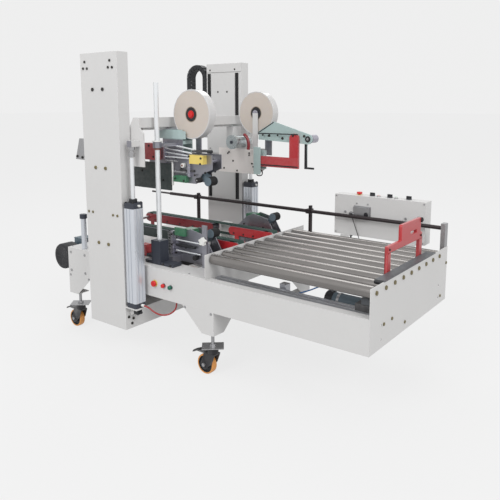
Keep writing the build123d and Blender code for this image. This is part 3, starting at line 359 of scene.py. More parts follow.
MOTOR_GREY = Finish(
    "blue grey cast housing", (0.11, 0.15, 0.18), Surface.CAST, 0.50, drift=0.12, grain=420, depth=0.25
)
SLATE = Finish(
    "slate cylinder cap", (0.035, 0.04, 0.055), Surface.CAST, 0.42, drift=0.12, grain=600, depth=0.15
)
BLACK_PAINT = Finish("black paint", (0.014, 0.013, 0.016), Surface.POWDER, 0.33, drift=0.2, wear=0.5)
BLACK_PLASTIC = Finish(
    "black moulded plastic", (0.016, 0.017, 0.02), Surface.CAST, 0.46, drift=0.18, grain=900, depth=0.16
)
DARK_PLATE = Finish(
    "dark green black paint", (0.014, 0.030, 0.028), Surface.POWDER, 0.40, drift=0.15, wear=0.4
)
RAIL_BROWN = Finish("dark bronzed rail", (0.045, 0.036, 0.038), Surface.BRUSHED, 0.30, 0.6, 0.2, 260, 0.05)
ZINC = Finish("rolled zinc steel", (0.30, 0.285, 0.275), Surface.BRUSHED, 0.22, 1.0, 0.16, 260, 0.06)
ZINC_PLATE = Finish("zinc plated steel", (0.46, 0.46, 0.47), Surface.POWDER, 0.34, 0.9, 0.18, 160, 0.10)
DARK_SCREW = Finish("blackened screws", (0.06, 0.058, 0.055), Surface.POWDER, 0.36, 0.8, 0.2, 300, 0.10)
YELLOW_ZINC = Finish("yellow zinc screws", (0.26, 0.22, 0.12), Surface.POWDER, 0.34, 0.9, 0.2, 300, 0.10)
ALUMINIUM = Finish(
    "drawn aluminium", (0.70, 0.73, 0.78), Surface.BRUSHED, 0.30, 0.6, 0.06, 320, 0.08, streak=Along.Z
)
ALUMINIUM_X = Finish("milled aluminium", (0.56, 0.57, 0.60), Surface.BRUSHED, 0.34, 0.9, 0.10, 320, 0.08)
SILVER = Finish(
    "silver cylinder", (0.50, 0.55, 0.56), Surface.BRUSHED, 0.26, 0.8, 0.08, 320, 0.06, streak=Along.Y
)
STEEL_PLATE = Finish("cut steel plate", (0.36, 0.36, 0.40), Surface.BRUSHED, 0.34, 0.9, 0.20, 240, 0.08)
LAVENDER = Finish("bright lavender steel", (0.50, 0.49, 0.56), Surface.BRUSHED, 0.26, 0.9, 0.14, 300, 0.06)
CHROME = Finish("hard chrome", (0.84, 0.86, 0.88), Surface.POLISHED, 0.16, 0.5, 0.03, 90, 0.01)
COPPER = Finish("sintered bronze", (0.26, 0.12, 0.09), Surface.CAST, 0.45, 0.7, 0.12, 800, 0.12)
RUBBER = Finish("black rubber", (0.014, 0.014, 0.015), Surface.CAST, 0.75, drift=0.2, grain=800, depth=0.2)
BELT = Finish(
    "green rough belt", (0.010, 0.042, 0.032), Surface.WOVEN, 0.72, drift=0.12, grain=1500, depth=0.4
)
TAPE = Finish(
    "wound tape",
    (0.56, 0.50, 0.45),
    Surface.WOUND,
    0.36,
    drift=0.10,
    grain=900,
    depth=0.10,
    coat=0.3,
    soft=0.10,
)
TAPE_RIM = Finish(
    "tape rim",
    (0.62, 0.61, 0.60),
    Surface.POLISHED,
    0.24,
    drift=0.05,
    grain=50,
    depth=0.02,
    coat=0.6,
    soft=0.10,
)
CARD = Finish("card core", (0.34, 0.28, 0.22), Surface.POWDER, 0.8, drift=0.12)
WHITE_PLASTIC = Finish(
    "white plastic", (0.72, 0.72, 0.70), Surface.CAST, 0.32, drift=0.03, grain=900, depth=0.05
)
RED_PLASTIC = Finish(
    "red plastic", (0.58, 0.014, 0.014), Surface.CAST, 0.28, drift=0.05, grain=900, depth=0.05
)
GREEN_PLASTIC = Finish(
    "green plastic", (0.006, 0.11, 0.07), Surface.CAST, 0.28, drift=0.05, grain=900, depth=0.05
)
AMBER = Finish(
    "amber tread",
    (0.66, 0.28, 0.06),
    Surface.CAST,
    0.34,
    drift=0.08,
    grain=700,
    depth=0.06,
    coat=0.3,
    soft=0.1,
)
RED_LAMP = Finish(
    "red lamp lens", (0.75, 0.03, 0.02), Surface.POLISHED, 0.12, drift=0.03, grain=60, depth=0.02, coat=0.6
)
GREEN_LAMP = Finish(
    "green lamp lens", (0.05, 0.5, 0.12), Surface.POLISHED, 0.12, drift=0.03, grain=60, depth=0.02, coat=0.6
)
RED_HOSE = Finish(
    "red air hose",
    (0.30, 0.012, 0.014),
    Surface.POLISHED,
    0.26,
    drift=0.05,
    grain=200,
    depth=0.03,
    coat=0.4,
)
BLUE_HOSE = Finish(
    "blue air tube", (0.03, 0.16, 0.42), Surface.POLISHED, 0.26, drift=0.05, grain=200, depth=0.03, coat=0.4
)


# ------------------------------------------------------------------ shapes


ANYWHERE: Range = (-9999.0, 9999.0)
ZONE_SLACK = 0.02


@dataclass(frozen=True)
class Zone:
    """A region of a CAD node that takes a finish of its own, given by ranges in millimetres."""

    finish: Finish
    x: Range = ANYWHERE
    y: Range = ANYWHERE
    z: Range = ANYWHERE

    def holds(self, face: bmesh.types.BMFace) -> bool:
        """Says whether a whole face lies in the zone."""
        ranges = (self.x, self.y, self.z)
        return all(
            low - ZONE_SLACK <= value / MM <= high + ZONE_SLACK
            for vert in face.verts
            for value, (low, high) in zip(vert.co, ranges)
        )


SHARP_DEG = 32.0
ROUNDED_DEG = 38.0
WELD_M = 2e-6
FLAT_DEG = 0.4


def finish_mesh(mesh: bpy.types.Mesh) -> None:
    """Shades a mesh smooth, with its edges sharp where they turn far enough."""
    mesh.shade_smooth()
    mesh.set_sharp_from_angle(angle=math.radians(SHARP_DEG))


def rounded(piece: bpy.types.Object, width: float) -> None:
    """Rounds a piece's sharp edges by a width in millimetres."""
    bevel = piece.modifiers.new("rounded edges", "BEVEL")
    bevel.width = width * MM
    bevel.segments = 2
    bevel.limit_method = "ANGLE"
    bevel.angle_limit = math.radians(ROUNDED_DEG)
    bevel.harden_normals = True
    bevel.use_clamp_overlap = True


def redress(node: str, finish: Finish, zones: Sequence[Zone] = (), bevel: float = 0.6) -> bpy.types.Object:
    """Makes a welded copy of a CAD node with rounded edges and finishes, which stands for the node.

    Args:
        node: The CAD node's name.
        finish: The finish of every face outside the zones.
        zones: Regions with their own finish; the first that holds a whole face counts.
        bevel: The rounding of its edges in millimetres.

    Returns:
        The new piece.
    """
    source = frame["nodes"][node]
    mesh = source.data.copy()
    mesh.name = node + "_skin"
    mesh.materials.clear()
    finishes = [finish]
    for zone in zones:
        if zone.finish not in finishes:
            finishes.append(zone.finish)
    for kind in finishes:
        mesh.materials.append(kind.material())
    shape = bmesh.new()
    shape.from_mesh(mesh)
    for face in shape.faces:
        chosen = next((zone.finish for zone in zones if zone.holds(face)), finish)
        face.material_index = finishes.index(chosen)
    bmesh.ops.remove_doubles(shape, verts=shape.verts, dist=WELD_M)
    bmesh.ops.dissolve_limit(
        shape, angle_limit=math.radians(FLAT_DEG), verts=shape.verts, edges=shape.edges, delimit={
            "MATERIAL"
        }
    )
    shape.to_mesh(mesh)
    shape.free()
    finish_mesh(mesh)
    piece = bpy.data.objects.new(mesh.name, mesh)
    bpy.context.scene.collection.objects.link(piece)
    if bevel:
        rounded(piece, bevel)
    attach(piece, frame["nodes"][node]["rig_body"])
    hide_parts(node)
    log.info("%s stands for %s", piece.name, node)
    return piece


class Shape:
    """Gathers the solids of one piece, each with its own finish, in millimetres."""

    def __init__(self) -> None:
        """Starts empty."""
        self.form = bmesh.new()
        self.ring = self.form.verts.layers.float.new("ring")
        self.finishes: list[Finish] = []

    def _slot(self, finish: Finish) -> int:
        """The material index of a finish, added on first use."""
        if finish not in self.finishes:
            self.finishes.append(finish)
        return self.finishes.index(finish)

    def _faces(self, finish: Finish, spots: Sequence[Point], loops: Sequence[Sequence[int]]) -> None:
        """Adds one closed solid from its points and face loops, with its faces turned outwards."""
        verts = [self.form.verts.new(Vector(spot) * MM) for spot in spots]
        faces = []
        for loop in loops:
            distinct = list(dict.fromkeys(loop))
            if len(distinct) > 2:
                made = self.form.faces.new([verts[index] for index in distinct])
                made.material_index = self._slot(finish)
                faces.append(made)
        bmesh.ops.recalc_face_normals(self.form, faces=faces)

    def box(self, finish: Finish, x: Range, y: Range, z: Range) -> "Shape":
        """Adds a box from its (low, high) pairs."""
        spots = [(px, py, pz) for px in x for py in y for pz in z]
        loops = [(0, 1, 3, 2), (4, 6, 7, 5), (0, 4, 5, 1), (2, 3, 7, 6), (0, 2, 6, 4), (1, 5, 7, 3)]
        self._faces(finish, spots, loops)
        return self

    def lathe(
        self, finish: Finish, axis: Along, centre: Point, profile: Sequence[Range], steps: int = 40
    ) -> "Shape":
        """Adds a turned solid.

        Args:
            finish: Its finish.
            axis: The axis it turns about.
            centre: The profile's zero.
            profile: (radius, along) pairs, closed through the axis if its ends have radius 0,
                else on itself.
            steps: The number of sides.

        Returns:
            This shape.
        """
        spots: list[Point] = []
        rows: list[list[int]] = []
        for radius, along in profile:
            if radius <= 1e-6:
                rows.append([len(spots)] * steps)
                spots.append(self._moved(centre, axis.place(0.0, 0.0, along)))
                continue
            rows.append(list(range(len(spots), len(spots) + steps)))
            for step in range(steps):
                turn = 2 * math.pi * step / steps
                spot = axis.place(radius * math.cos(turn), radius * math.sin(turn), along)
                spots.append(self._moved(centre, spot))
        count = len(rows)
        ringed = profile[0][0] > 1e-6
        loops = []
        for index in range(count if ringed else count - 1):
            near, far = rows[index], rows[(index + 1) % count]
            for step in range(steps):
                after = (step + 1) % steps
                loops.append((near[step], near[after], far[after], far[step]))
        self._faces(finish, spots, loops)
        return self

    @staticmethod
    def _moved(centre: Point, spot: Point) -> Point:
        """Adds two points."""
        return (centre[0] + spot[0], centre[1] + spot[1], centre[2] + spot[2])

    def rod(
        self,
        finish: Finish,
        axis: Along,
        centre: Point,
        radius: float,
        span: Range,
        edge: float = 0.6,
        steps: int = 32,
    ) -> "Shape":
        """Adds a round bar between two values along its axis, from a centre, with small chamfers."""
        low, high = span
        profile = [
            (0, low),
            (radius - edge, low),
            (radius, low + edge),
            (radius, high - edge),
            (radius - edge, high),
            (0, high),
        ]
        return self.lathe(finish, axis, centre, profile, steps)

    def tube(
        self, finish: Finish, axis: Along, centre: Point, radii: Range, span: Range, steps: int = 40
    ) -> "Shape":
        """Adds a round tube from its (inner, outer) radii."""
        inner, outer = radii
        low, high = span
        edge = min(0.6, (outer - inner) / 4)
        profile = [
            (inner, low),
            (outer - edge, low),
            (outer, low + edge),
            (outer, high - edge),
            (outer - edge, high),
            (inner, high),
        ]
        return self.lathe(finish, axis, centre, profile, steps)

    def prism(
        self, finish: Finish, axis: Along, outline: Sequence[Range], span: Range, centre: Point = (0, 0, 0)
    ) -> "Shape":
        """Adds a solid with an outline across its axis.

        Args:
            finish: Its finish.
            axis: The axis it is extruded along.
            outline: Points on the next two axes, in X-Y-Z-X order after the axis.
            span: The (low, high) values along the axis.
            centre: A shift of the whole.

        Returns:
            This shape.
        """
        count = len(outline)
        spots = [self._moved(centre, axis.place(a, b, value)) for value in span for a, b in outline]
        loops = [tuple(range(count)), tuple(range(count, 2 * count))]
        loops += [
            (step, (step + 1) % count, count + (step + 1) % count, count + step) for step in range(count)
        ]
        self._faces(finish, spots, loops)
        return self

    def wire(self, finish: Finish, route: Sequence[Point], radius: float, steps: int = 10) -> "Shape":
        """Adds a round bar along a route of close points."""
        points = [Vector(point) for point in route]
        spots: list[Point] = []
        side = Vector((0, 0, 1))
        for index, point in enumerate(points):
            ahead = (points[min(index + 1, len(points) - 1)] - points[max(index - 1, 0)]).normalized()
            side = side - ahead * side.dot(ahead)
            if side.length < 0.1:
                side = ahead.orthogonal()
            side.normalize()
            other = ahead.cross(side)
            for step in range(steps):
                turn = 2 * math.pi * step / steps
                spots.append(
                    tuple(point + side * (radius * math.cos(turn)) + other * (radius * math.sin(turn)))
                )
        loops = [tuple(range(steps)), tuple(range(len(spots) - steps, len(spots)))]
        for row in range(len(points) - 1):
            base = row * steps
            for step in range(steps):
                after = (step + 1) % steps
                loops.append((base + step, base + after, base + steps + after, base + steps + step))
        self._faces(finish, spots, loops)
        return self

    def spring(
        self,
        finish: Finish,
        axis: Along,
        centre: Point,
        radius: float,
        span: Range,
        turns: int,
        wire: float,
    ) -> "Shape":
        """Adds a coil spring between two values along its axis."""
        route = []
        for step in range(turns * 12 + 1):
            turn = 2 * math.pi * step / 12
            along = span[0] + (span[1] - span[0]) * step / (turns * 12)
            route.append(
                self._moved(centre, axis.place(radius * math.cos(turn), radius * math.sin(turn), along))
            )
        return self.wire(finish, route, wire, 8)

    def done(
        self, name: str, body: str, bevel: float = 0.0, replaces: Sequence[str] = ()
    ) -> bpy.types.Object:
        """Makes the piece.

        Args:
            name: The piece's name.
            body: The CAD body it rides on.
            bevel: The rounding of its edges in millimetres, or 0.
            replaces: The CAD nodes it stands for.

        Returns:
            The object.
        """
        mesh = bpy.data.meshes.new(name)
        self.form.to_mesh(mesh)
        self.form.free()
        for finish in self.finishes:
            mesh.materials.append(finish.material())
        finish_mesh(mesh)
        piece = bpy.data.objects.new(name, mesh)
        bpy.context.scene.collection.objects.link(piece)
        if bevel:
            rounded(piece, bevel)
        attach(piece, body)
        if replaces:
            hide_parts(*replaces)
        log.info("made %s", name)
        return piece


# ------------------------------------------------------------------ repeats by geometry nodes


@dataclass(frozen=True)
class Fastener:
    """A kind of screw head, set many times by one node tree."""

    name: str
    radius: float
    height: float
    sides: int
    washer: float
    finish: Finish


HEX = Fastener("hex", 6.5, 5.0, 6, 8.5, ZINC_PLATE)
SMALL_HEX = Fastener("small hex", 5.0, 3.6, 6, 6.5, ZINC_PLATE)
CAP_SCREW = Fastener("cap screw", 4.4, 4.0, 20, 5.4, DARK_SCREW)
BIG_CAP = Fastener("big cap screw", 6.0, 5.0, 20, 7.5, DARK_SCREW)
BUTTON_SCREW = Fastener("button screw", 4.6, 2.4, 20, 0.0, ZINC_PLATE)


SOCKETS = {"float": "NodeSocketFloat", "int": "NodeSocketInt", "vector": "NodeSocketVector"}
SOCKETS |= {"turn": "NodeSocketRotation", "material": "NodeSocketMaterial"}


class Growth:
    """A node tree with named inputs that turns a starting mesh into a plain mesh piece."""

    def __init__(self, title: str, **kinds: str) -> None:
        """Starts the tree.

        Args:
            title: The tree's name.
            **kinds: The kind of each input, by its name with _ for a space.
        """
        self.tree = bpy.data.node_groups.new(title, "GeometryNodeTree")
        face = self.tree.interface
        face.new_socket("Geometry", in_out="INPUT", socket_type="NodeSocketGeometry")
        self.inputs = {}
        for name, kind in kinds.items():
            label = name.replace("_", " ")
            self.inputs[label] = face.new_socket(
                label, in_out="INPUT", socket_type=SOCKETS[kind]
            ).identifier
        face.new_socket("Geometry", in_out="OUTPUT", socket_type="NodeSocketGeometry")
        self.wires = Wiring(self.tree)
        self.given = self.wires.node("NodeGroupInput").outputs

    def joined(self, parts: Sequence[bpy.types.NodeSocket]) -> bpy.types.NodeSocket:
        """Joins geometry outputs into one."""
        together = self.wires.node("GeometryNodeJoinGeometry")
        for part in parts:
            self.tree.links.new(part, together.inputs[0])
        return together.outputs[0]

    def along_aim(self, **settings: str) -> bpy.types.NodeSocket:
        """The rotation that turns an axis along each point's aim."""
        aim = self.wires.node("GeometryNodeInputNamedAttribute", {"data_type": "FLOAT_VECTOR"}, Name="aim")
        return self.wires.node(
            "FunctionNodeAlignRotationToVector", settings, Vector=aim.outputs[0]
        ).outputs[0]

    def spread(
        self, points: bpy.types.NodeSocket, part: bpy.types.NodeSocket, turn: bpy.types.NodeSocket
    ) -> bpy.types.NodeSocket:
        """Sets a part on every point and makes the copies real."""
        copies = self.wires.node(
            "GeometryNodeInstanceOnPoints", Points=points, Instance=part, Rotation=turn
        )
        return self.wires.node("GeometryNodeRealizeInstances", Geometry=copies.outputs[0]).outputs[0]

    def finished(self, geometry: bpy.types.NodeSocket) -> None:
        """Ends the tree with the finish."""
        dressed = self.wires.node(
            "GeometryNodeSetMaterial", Geometry=geometry, Material=self.given["Finish"]
        )
        self.wires.node("NodeGroupOutput", Geometry=dressed.outputs[0])

    def grow(self, name: str, start: bpy.types.Mesh, values: dict[str, object]) -> bpy.types.Object:
        """Runs the tree on a mesh and keeps the result as a plain mesh piece.

        Args:
            name: The piece's name.
            start: The mesh that goes in.
            values: The inputs by name.

        Returns:
            The piece.
        """
        holder = bpy.data.objects.new(name + "_holder", start)
        bpy.context.scene.collection.objects.link(holder)
        modifier = holder.modifiers.new(self.tree.name, "NODES")
        modifier.node_group = self.tree
        for label, value in values.items():
            modifier[self.inputs[label]] = value
        bpy.context.view_layer.update()
        ready = holder.evaluated_get(bpy.context.evaluated_depsgraph_get())
        mesh = bpy.data.meshes.new_from_object(ready)
        mesh.name = name
        holder.modifiers.clear()
        bpy.data.objects.remove(holder)
        finish_mesh(mesh)
        piece = bpy.data.objects.new(name, mesh)
        bpy.context.scene.collection.objects.link(piece)
        log.info("made %s", name)
        return piece

    @staticmethod
    def aimed(name: str, places: Sequence[tuple[Point, Point]]) -> bpy.types.Mesh:
        """Makes a cloud of points in millimetres, each with the direction of its aim."""
        cloud = bpy.data.meshes.new(name + "_points")
        cloud.from_pydata([Vector(spot) * MM for spot, _ in places], [], [])
        aims = cloud.attributes.new("aim", "FLOAT_VECTOR", "POINT")
        for index, (_, aim) in enumerate(places):
            aims.data[index].vector = aim
        return cloud


class FastenerTree(Growth):
    """The node tree that sets a turned head on every point, pointing along the point's aim."""

    def __init__(self) -> None:
        """Builds the tree with its named inputs."""
        super().__init__(
            "fasteners",
            Head_Radius="float",
            Head_Height="float",
            Sides="int",
            Washer_Radius="float",
            Finish="material",
        )
        wires, given = self.wires, self.given
        radius, height, sides = given["Head Radius"], given["Head Height"], given["Sides"]
        head = wires.node("GeometryNodeMeshCylinder", Vertices=sides, Radius=radius, Depth=height)
        raised = wires.node("ShaderNodeCombineXYZ", Z=wires.math("MULTIPLY", height, 0.5))
        head_up = wires.node(
            "GeometryNodeTransform", Geometry=head.outputs["Mesh"], Translation=raised.outputs[0]
        )
        crown = wires.node(
            "GeometryNodeMeshCone",
            Vertices=sides,
            Radius_Bottom=wires.math("MULTIPLY", radius, 0.92),
            Radius_Top=wires.math("MULTIPLY", radius, 0.62),
            Depth=wires.math("MULTIPLY", height, 0.16),
        )
        top = wires.node("ShaderNodeCombineXYZ", Z=height)
        crown_up = wires.node(
            "GeometryNodeTransform", Geometry=crown.outputs["Mesh"], Translation=top.outputs[0]
        )
        washer = wires.node(
            "GeometryNodeMeshCylinder", Vertices=24, Radius=given["Washer Radius"], Depth=0.0012
        )
        whole = self.joined((head_up.outputs[0], crown_up.outputs[0], washer.outputs["Mesh"]))
        self.finished(self.spread(given["Geometry"], whole, self.along_aim(axis="Z")))

    def fit(
        self, name: str, body: str, kind: Fastener, places: Iterable[tuple[Point, Point]]
    ) -> bpy.types.Object:
        """Sets one head at every place.

        Args:
            name: The piece's name.
            body: The CAD body it rides on.
            kind: Which head.
            places: (point in millimetres, direction that the head points) pairs.

        Returns:
            The piece, as a plain mesh.
        """
        values = {
            "Head Radius": kind.radius * MM,
            "Head Height": kind.height * MM,
            "Sides": kind.sides,
            "Washer Radius": max(kind.washer, kind.radius * 0.9) * MM,
            "Finish": kind.finish.material(),
        }
        piece = self.grow(name, self.aimed(name, list(places)), values)
        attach(piece, body)
        return piece


class FinTree(Growth):
    """The node tree that sets flat fins in a ring round a motor housing."""

    def __init__(self) -> None:
        """Builds the tree with its named inputs."""
        super().__init__(
            "ring of fins",
            Count="int",
            Ring_Radius="float",
            Fin_Size="vector",
            Centre="vector",
            Tilt="turn",
            Finish="material",
        )
        wires, given = self.wires, self.given
        ring = wires.node("GeometryNodeMeshCircle", Vertices=given["Count"], Radius=given["Ring Radius"])
        fin = wires.node("GeometryNodeMeshCube", Size=given["Fin Size"])
        spot = wires.node("GeometryNodeInputPosition").outputs[0]
        turned = wires.node("FunctionNodeAlignRotationToVector", {"axis": "X"}, Vector=spot)
        fins = self.spread(ring.outputs[0], fin.outputs[0], turned.outputs[0])
        placed = wires.node(
            "GeometryNodeTransform", Geometry=fins, Translation=given["Centre"], Rotation=given["Tilt"]
        )
        self.finished(placed.outputs[0])

    def ring(
        self, name: str, body: str, centre: Point, count: int, radius: float, size: Point, finish: Finish
    ) -> bpy.types.Object:
        """Sets a ring of fins round the Y axis.

        Args:
            name: The piece's name.
            body: The CAD body it rides on.
            centre: The ring's centre in millimetres.
            count: The number of fins.
            radius: The radius of the fins' centres.
            size: The fin's size outwards, round the ring and along the axis.
            finish: Its finish.

        Returns:
            The piece.
        """
        blank = bpy.data.meshes.new(name + "_start")
        values = {
            "Count": count,
            "Ring Radius": radius * MM,
            "Fin Size": [value * MM for value in size],
            "Centre": [value * MM for value in centre],
            "Tilt": (math.pi / 2, 0.0, 0.0),
            "Finish": finish.material(),
        }
        piece = self.grow(name, blank, values)
        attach(piece, body)
        return piece


def box_mm(node: str) -> tuple[list[float], list[float]]:
    """The lowest and highest corner of a CAD node in millimetres."""
    low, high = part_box(node)
    return [value / MM for value in low], [value / MM for value in high]


FRONT = (0.0, -1.0, 0.0)
BACK = (0.0, 1.0, 0.0)
UP = (0.0, 0.0, 1.0)
RIGHT = (1.0, 0.0, 0.0)


# ------------------------------------------------------------------ sub-assemblies


@dataclass
class MachineFrame:
    """The side beams, deck, legs, columns and cross pan."""

    fasteners: FastenerTree
    slot_x: Range = (-533.0, -310.0)
    slot_z: Range = (700.0, 1480.0)
    column_inner: float = 442.0

    def build(self) -> None:
        """Dresses the frame's nodes and adds the details of its columns."""
        redress("frame_beams", PAINT, bevel=1.2)
        redress(
            "deck_plate",
            PAINT,
            [Zone(SLATE, z=(658, 690)), Zone(ALUMINIUM, x=(-761, -729), y=(-411, -379), z=(484, 672))],
            bevel=0.8,
        )
        redress("cross_pan", PAINT, bevel=1.0)
        redress("corner_legs", PAINT, [Zone(ZINC_PLATE, z=(140, 214.5))], bevel=1.0)
        redress(
            "columns",
            PAINT,
            [
                Zone(ZINC_PLATE, x=(-516, -494), z=(150, 1540)),
                Zone(ZINC_PLATE, x=(-349, -327), z=(150, 1540)),
            ],
            bevel=1.6,
        )
        ends = Zone(YELLOW_ZINC, x=(1025, 1036))
        cluster = Zone(DARK_SCREW, z=(1300, 1540))
        redress(
            "frame_bolts",
            ZINC_PLATE,
            [cluster, ends, Zone(YELLOW_ZINC, y=(-600, -505)), Zone(YELLOW_ZINC, y=(505, 600))],
            bevel=0.5,
        )
        for side, label in ((-1, "front"), (1, "rear")):
            self._column(side, label)
        self._stiffeners()
        self._foot()

    def _foot(self) -> None:
        """Adds the valve and screws under the front cylinder and the column's folded edge."""
        foot = Shape()
        foot.box(BLACK_PLASTIC, (-236, -206), (-490, -462), (240, 268))
        foot.rod(BLACK_PLASTIC, Along.X, (-206, -476, 252), 7, (0, 14), 1)
        foot.rod(ZINC_PLATE, Along.Z, (-221, -476, 232), 6, (0, 10), 1)
        foot.done("cylinder_valve", "base", bevel=1.0)
        spots = [((-275.0, y, z), RIGHT) for y, z in ((-460.0, 200.0), (-490.0, 215.0), (-470.0, 176.0))]
        self.fasteners.fit("foot_screws", "base", BIG_CAP, spots)

    def _column(self, side: int, label: str) -> None:
        """Adds a column's brush strips, head plate and panel joints on its inner face."""
        face = side * self.column_inner
        out = -side

        def across(near: float, far: float) -> Range:
            """Orders two distances from the inner face."""
            return tuple(sorted((face + out * near, face + out * far)))

        strips = Shape()
        for x in self.slot_x:
            for way in (-1, 1):
                edge = x + way * 13.0
                strips.box(RUBBER, tuple(sorted((edge, x + way * 1.0))), across(-0.2, 1.4), self.slot_z)
        strips.done(f"{label}_column_brush_strips", "base", bevel=0.3)
        panel = Shape()
        panel.box(PAINT, (-552, -278), across(0.0, 1.8), (1488, 1537))
        panel.box(PAINT_IN, (-552, -278), across(0.0, 0.6), (1485, 1488))
        panel.box(PAINT, (-515, -328), across(0.0, 1.6), (710, 1476))
        for x, z in ((-524, 1502), (-325, 1502), (-461, 1367), (-387, 1367)):
            panel.rod(DARK_SCREW, Along.Y, (x, 0, z), 6.0, across(1.0, 2.7), 0.5)
        panel.done(f"{label}_column_cover_plates", "base", bevel=0.6)

    def _stiffeners(self) -> None:
        """Adds the deck's screws, the skirts round its slots and the bolts of the legs."""
        spots = []
        for side in (-1, 1):
            for x in (-845.0, -690.0, 70.0, 172.0):
                spots.append(((x, side * 402.0, 484.0), UP))
        self.fasteners.fit("deck_screws", "base", BUTTON_SCREW, spots)
        skirts = Shape()
        for low, high in ((-300.0, -151.0), (284.0, 358.0)):
            skirts.box(BLACK_PAINT, (-137.4, 35.4), (high + 0.2, high + 1.8), (405, 479.6))
            skirts.box(BLACK_PAINT, (-138.0, -136.2), (low, high), (405, 479.6))
        skirts.done("deck_slot_skirts", "base", bevel=0.3)
        nuts = []
        for side in (-1, 1):
            for x in (226.0, 60.0, -845.0, -680.0):
                nuts.append(((x, side * 425.0, 322.0), (0.0, float(side), 0.0)))
        self.fasteners.fit("leg_bolts", "base", SMALL_HEX, nuts)


@dataclass
class RollerTable:
    """The rollers, the panels that carry them, the pusher and its drive."""

    fasteners: FastenerTree
    radius: float = 25.0
    count: int = 9

    def build(self) -> None:
        """Dresses the table's nodes and turns its rollers."""
        redress(
            "table_panels", PAINT, [Zone(GREY_PLATE, x=(987, 1035), y=(-311, 251), z=(600, 610))], bevel=0.8
        )
        for index in range(self.count):
            self._roller(index + 1)
        zones = [Zone(BLACK_PAINT, z=(470, 508), y=(-365, -295)), Zone(GREY_PLATE, z=(507, 537))]
        redress("pusher", RED, zones, bevel=2.4)
        self._pusher_details()
        redress(
            "pusher_drive",
            ALUMINIUM_X,
            [Zone(STEEL_PLATE, z=(400, 420.2)), Zone(MOTOR_GREY, x=(735, 970), y=(-275, -195))],
            bevel=0.8,
        )
        self._drive_details()

    def _roller(self, number: int) -> None:
        """Turns one roller: tube with rolled ends, bearing cups and hexagonal axle."""
        node = f"table_roller_{number}"
        low, high = box_mm(node)
        y, z = (low[1] + high[1]) / 2, (low[2] + high[2]) / 2
        centre = (0.0, y, z)
        left, right = low[0] + 9.0, high[0] - 8.5
        radius = self.radius
        roller = Shape()
        outer = [
            (radius - 3, left),
            (radius - 1, left + 0.3),
            (radius, left + 1.4),
            (radius, right - 1.4),
            (radius - 1, right - 0.3),
            (radius - 3, right),
        ]
        inner = [(radius - 3, right - 8), (radius - 3, left + 8)]
        roller.lathe(ZINC, Along.X, centre, outer + inner, 56)
        for near, far in ((left + 0.8, left + 8), (right - 8, right - 0.8)):
            roller.tube(BLACK_PLASTIC, Along.X, centre, (9.0, radius - 3), (near, far), 40)
            roller.tube(ZINC_PLATE, Along.X, centre, (6.0, 9.0), (near - 0.6, far + 0.6), 28)
        hexagon = [
            (6.0 * math.cos(math.radians(60 * k)), 6.0 * math.sin(math.radians(60 * k))) for k in range(6)
        ]
        roller.prism(ZINC_PLATE, Along.X, hexagon, (low[0] + 3.5, high[0] - 3.2), centre)
        roller.done(f"roller_{number}", node, replaces=[node])

    def _pusher_details(self) -> None:
        """Adds the pusher's bumper and the bolts of its legs."""
        bumper = Shape()
        bumper.rod(RUBBER, Along.X, (976, 186, 764), 12, (-14, 14), 3)
        bumper.box(RUBBER, (965.5, 968), (-30, 170), (736, 770))
        bumper.done("pusher_pad", "pusher", bevel=1.2)
        spots = []
        for y in (-161.0, 183.0):
            for z in (556.0, 693.0):
                spots.append(((984.0, y, z), RIGHT))
        self.fasteners.fit("pusher_bolts", "pusher", CAP_SCREW, spots)
        lip = Shape()
        lip.rod(BLACK_PLASTIC, Along.X, (1011, -308, 596), 9, (-22, 16), 2)
        lip.done("cover_plate_pad", "base")

    def _drive_details(self) -> None:
        """Adds the pusher drive's end caps, ports and tubes under the rollers."""
        drive = Shape()
        drive.rod(BLACK_PLASTIC, Along.X, (740, -235, 454), 37.5, (-3, 34), 4, 40)
        for x in (800.0, 930.0):
            drive.tube(ZINC_PLATE, Along.X, (x, -235, 454), (33.5, 35.6), (-6, 6), 40)
        drive.rod(ZINC_PLATE, Along.Z, (760, -235, 488), 5, (0, 12))
        drive.rod(ZINC_PLATE, Along.Z, (945, -235, 488), 5, (0, 12))
        route = [
            (760, -235, 500),
            (742, -235, 509),
            (700, -238, 500),
            (640, -246, 470),
            (560, -250, 440),
            (460, -246, 426),
            (360, -240, 420),
            (230, -236, 420),
        ]
        drive.wire(BLUE_HOSE, smooth_route(route), 3.0)
        drive.done("pusher_drive_fittings", "base")


def smooth_route(points: Sequence[Point], steps: int = 6) -> list[Point]:
    """Rounds a route of control points into close points on a Catmull-Rom curve.

    Args:
        points: The places that it passes.
        steps: The number of points on each stretch.

    Returns:
        The close points.
    """
    spots = [Vector(point) for point in points]
    spots = [spots[0] * 2 - spots[1]] + spots + [spots[-1] * 2 - spots[-2]]
    made = []
    for index in range(1, len(spots) - 2):
        before, start, end, after = spots[index - 1 : index + 3]
        for step in range(steps):
            t = step / steps
            made.append(
                tuple(
                    0.5
                    * (
                        2 * start
                        + (end - before) * t
                        + (2 * before - 5 * start + 4 * end - after) * t**2
                        + (3 * start - before - 3 * end + after) * t**3
                    )
                )
            )
    made.append(tuple(spots[-2]))
    return made


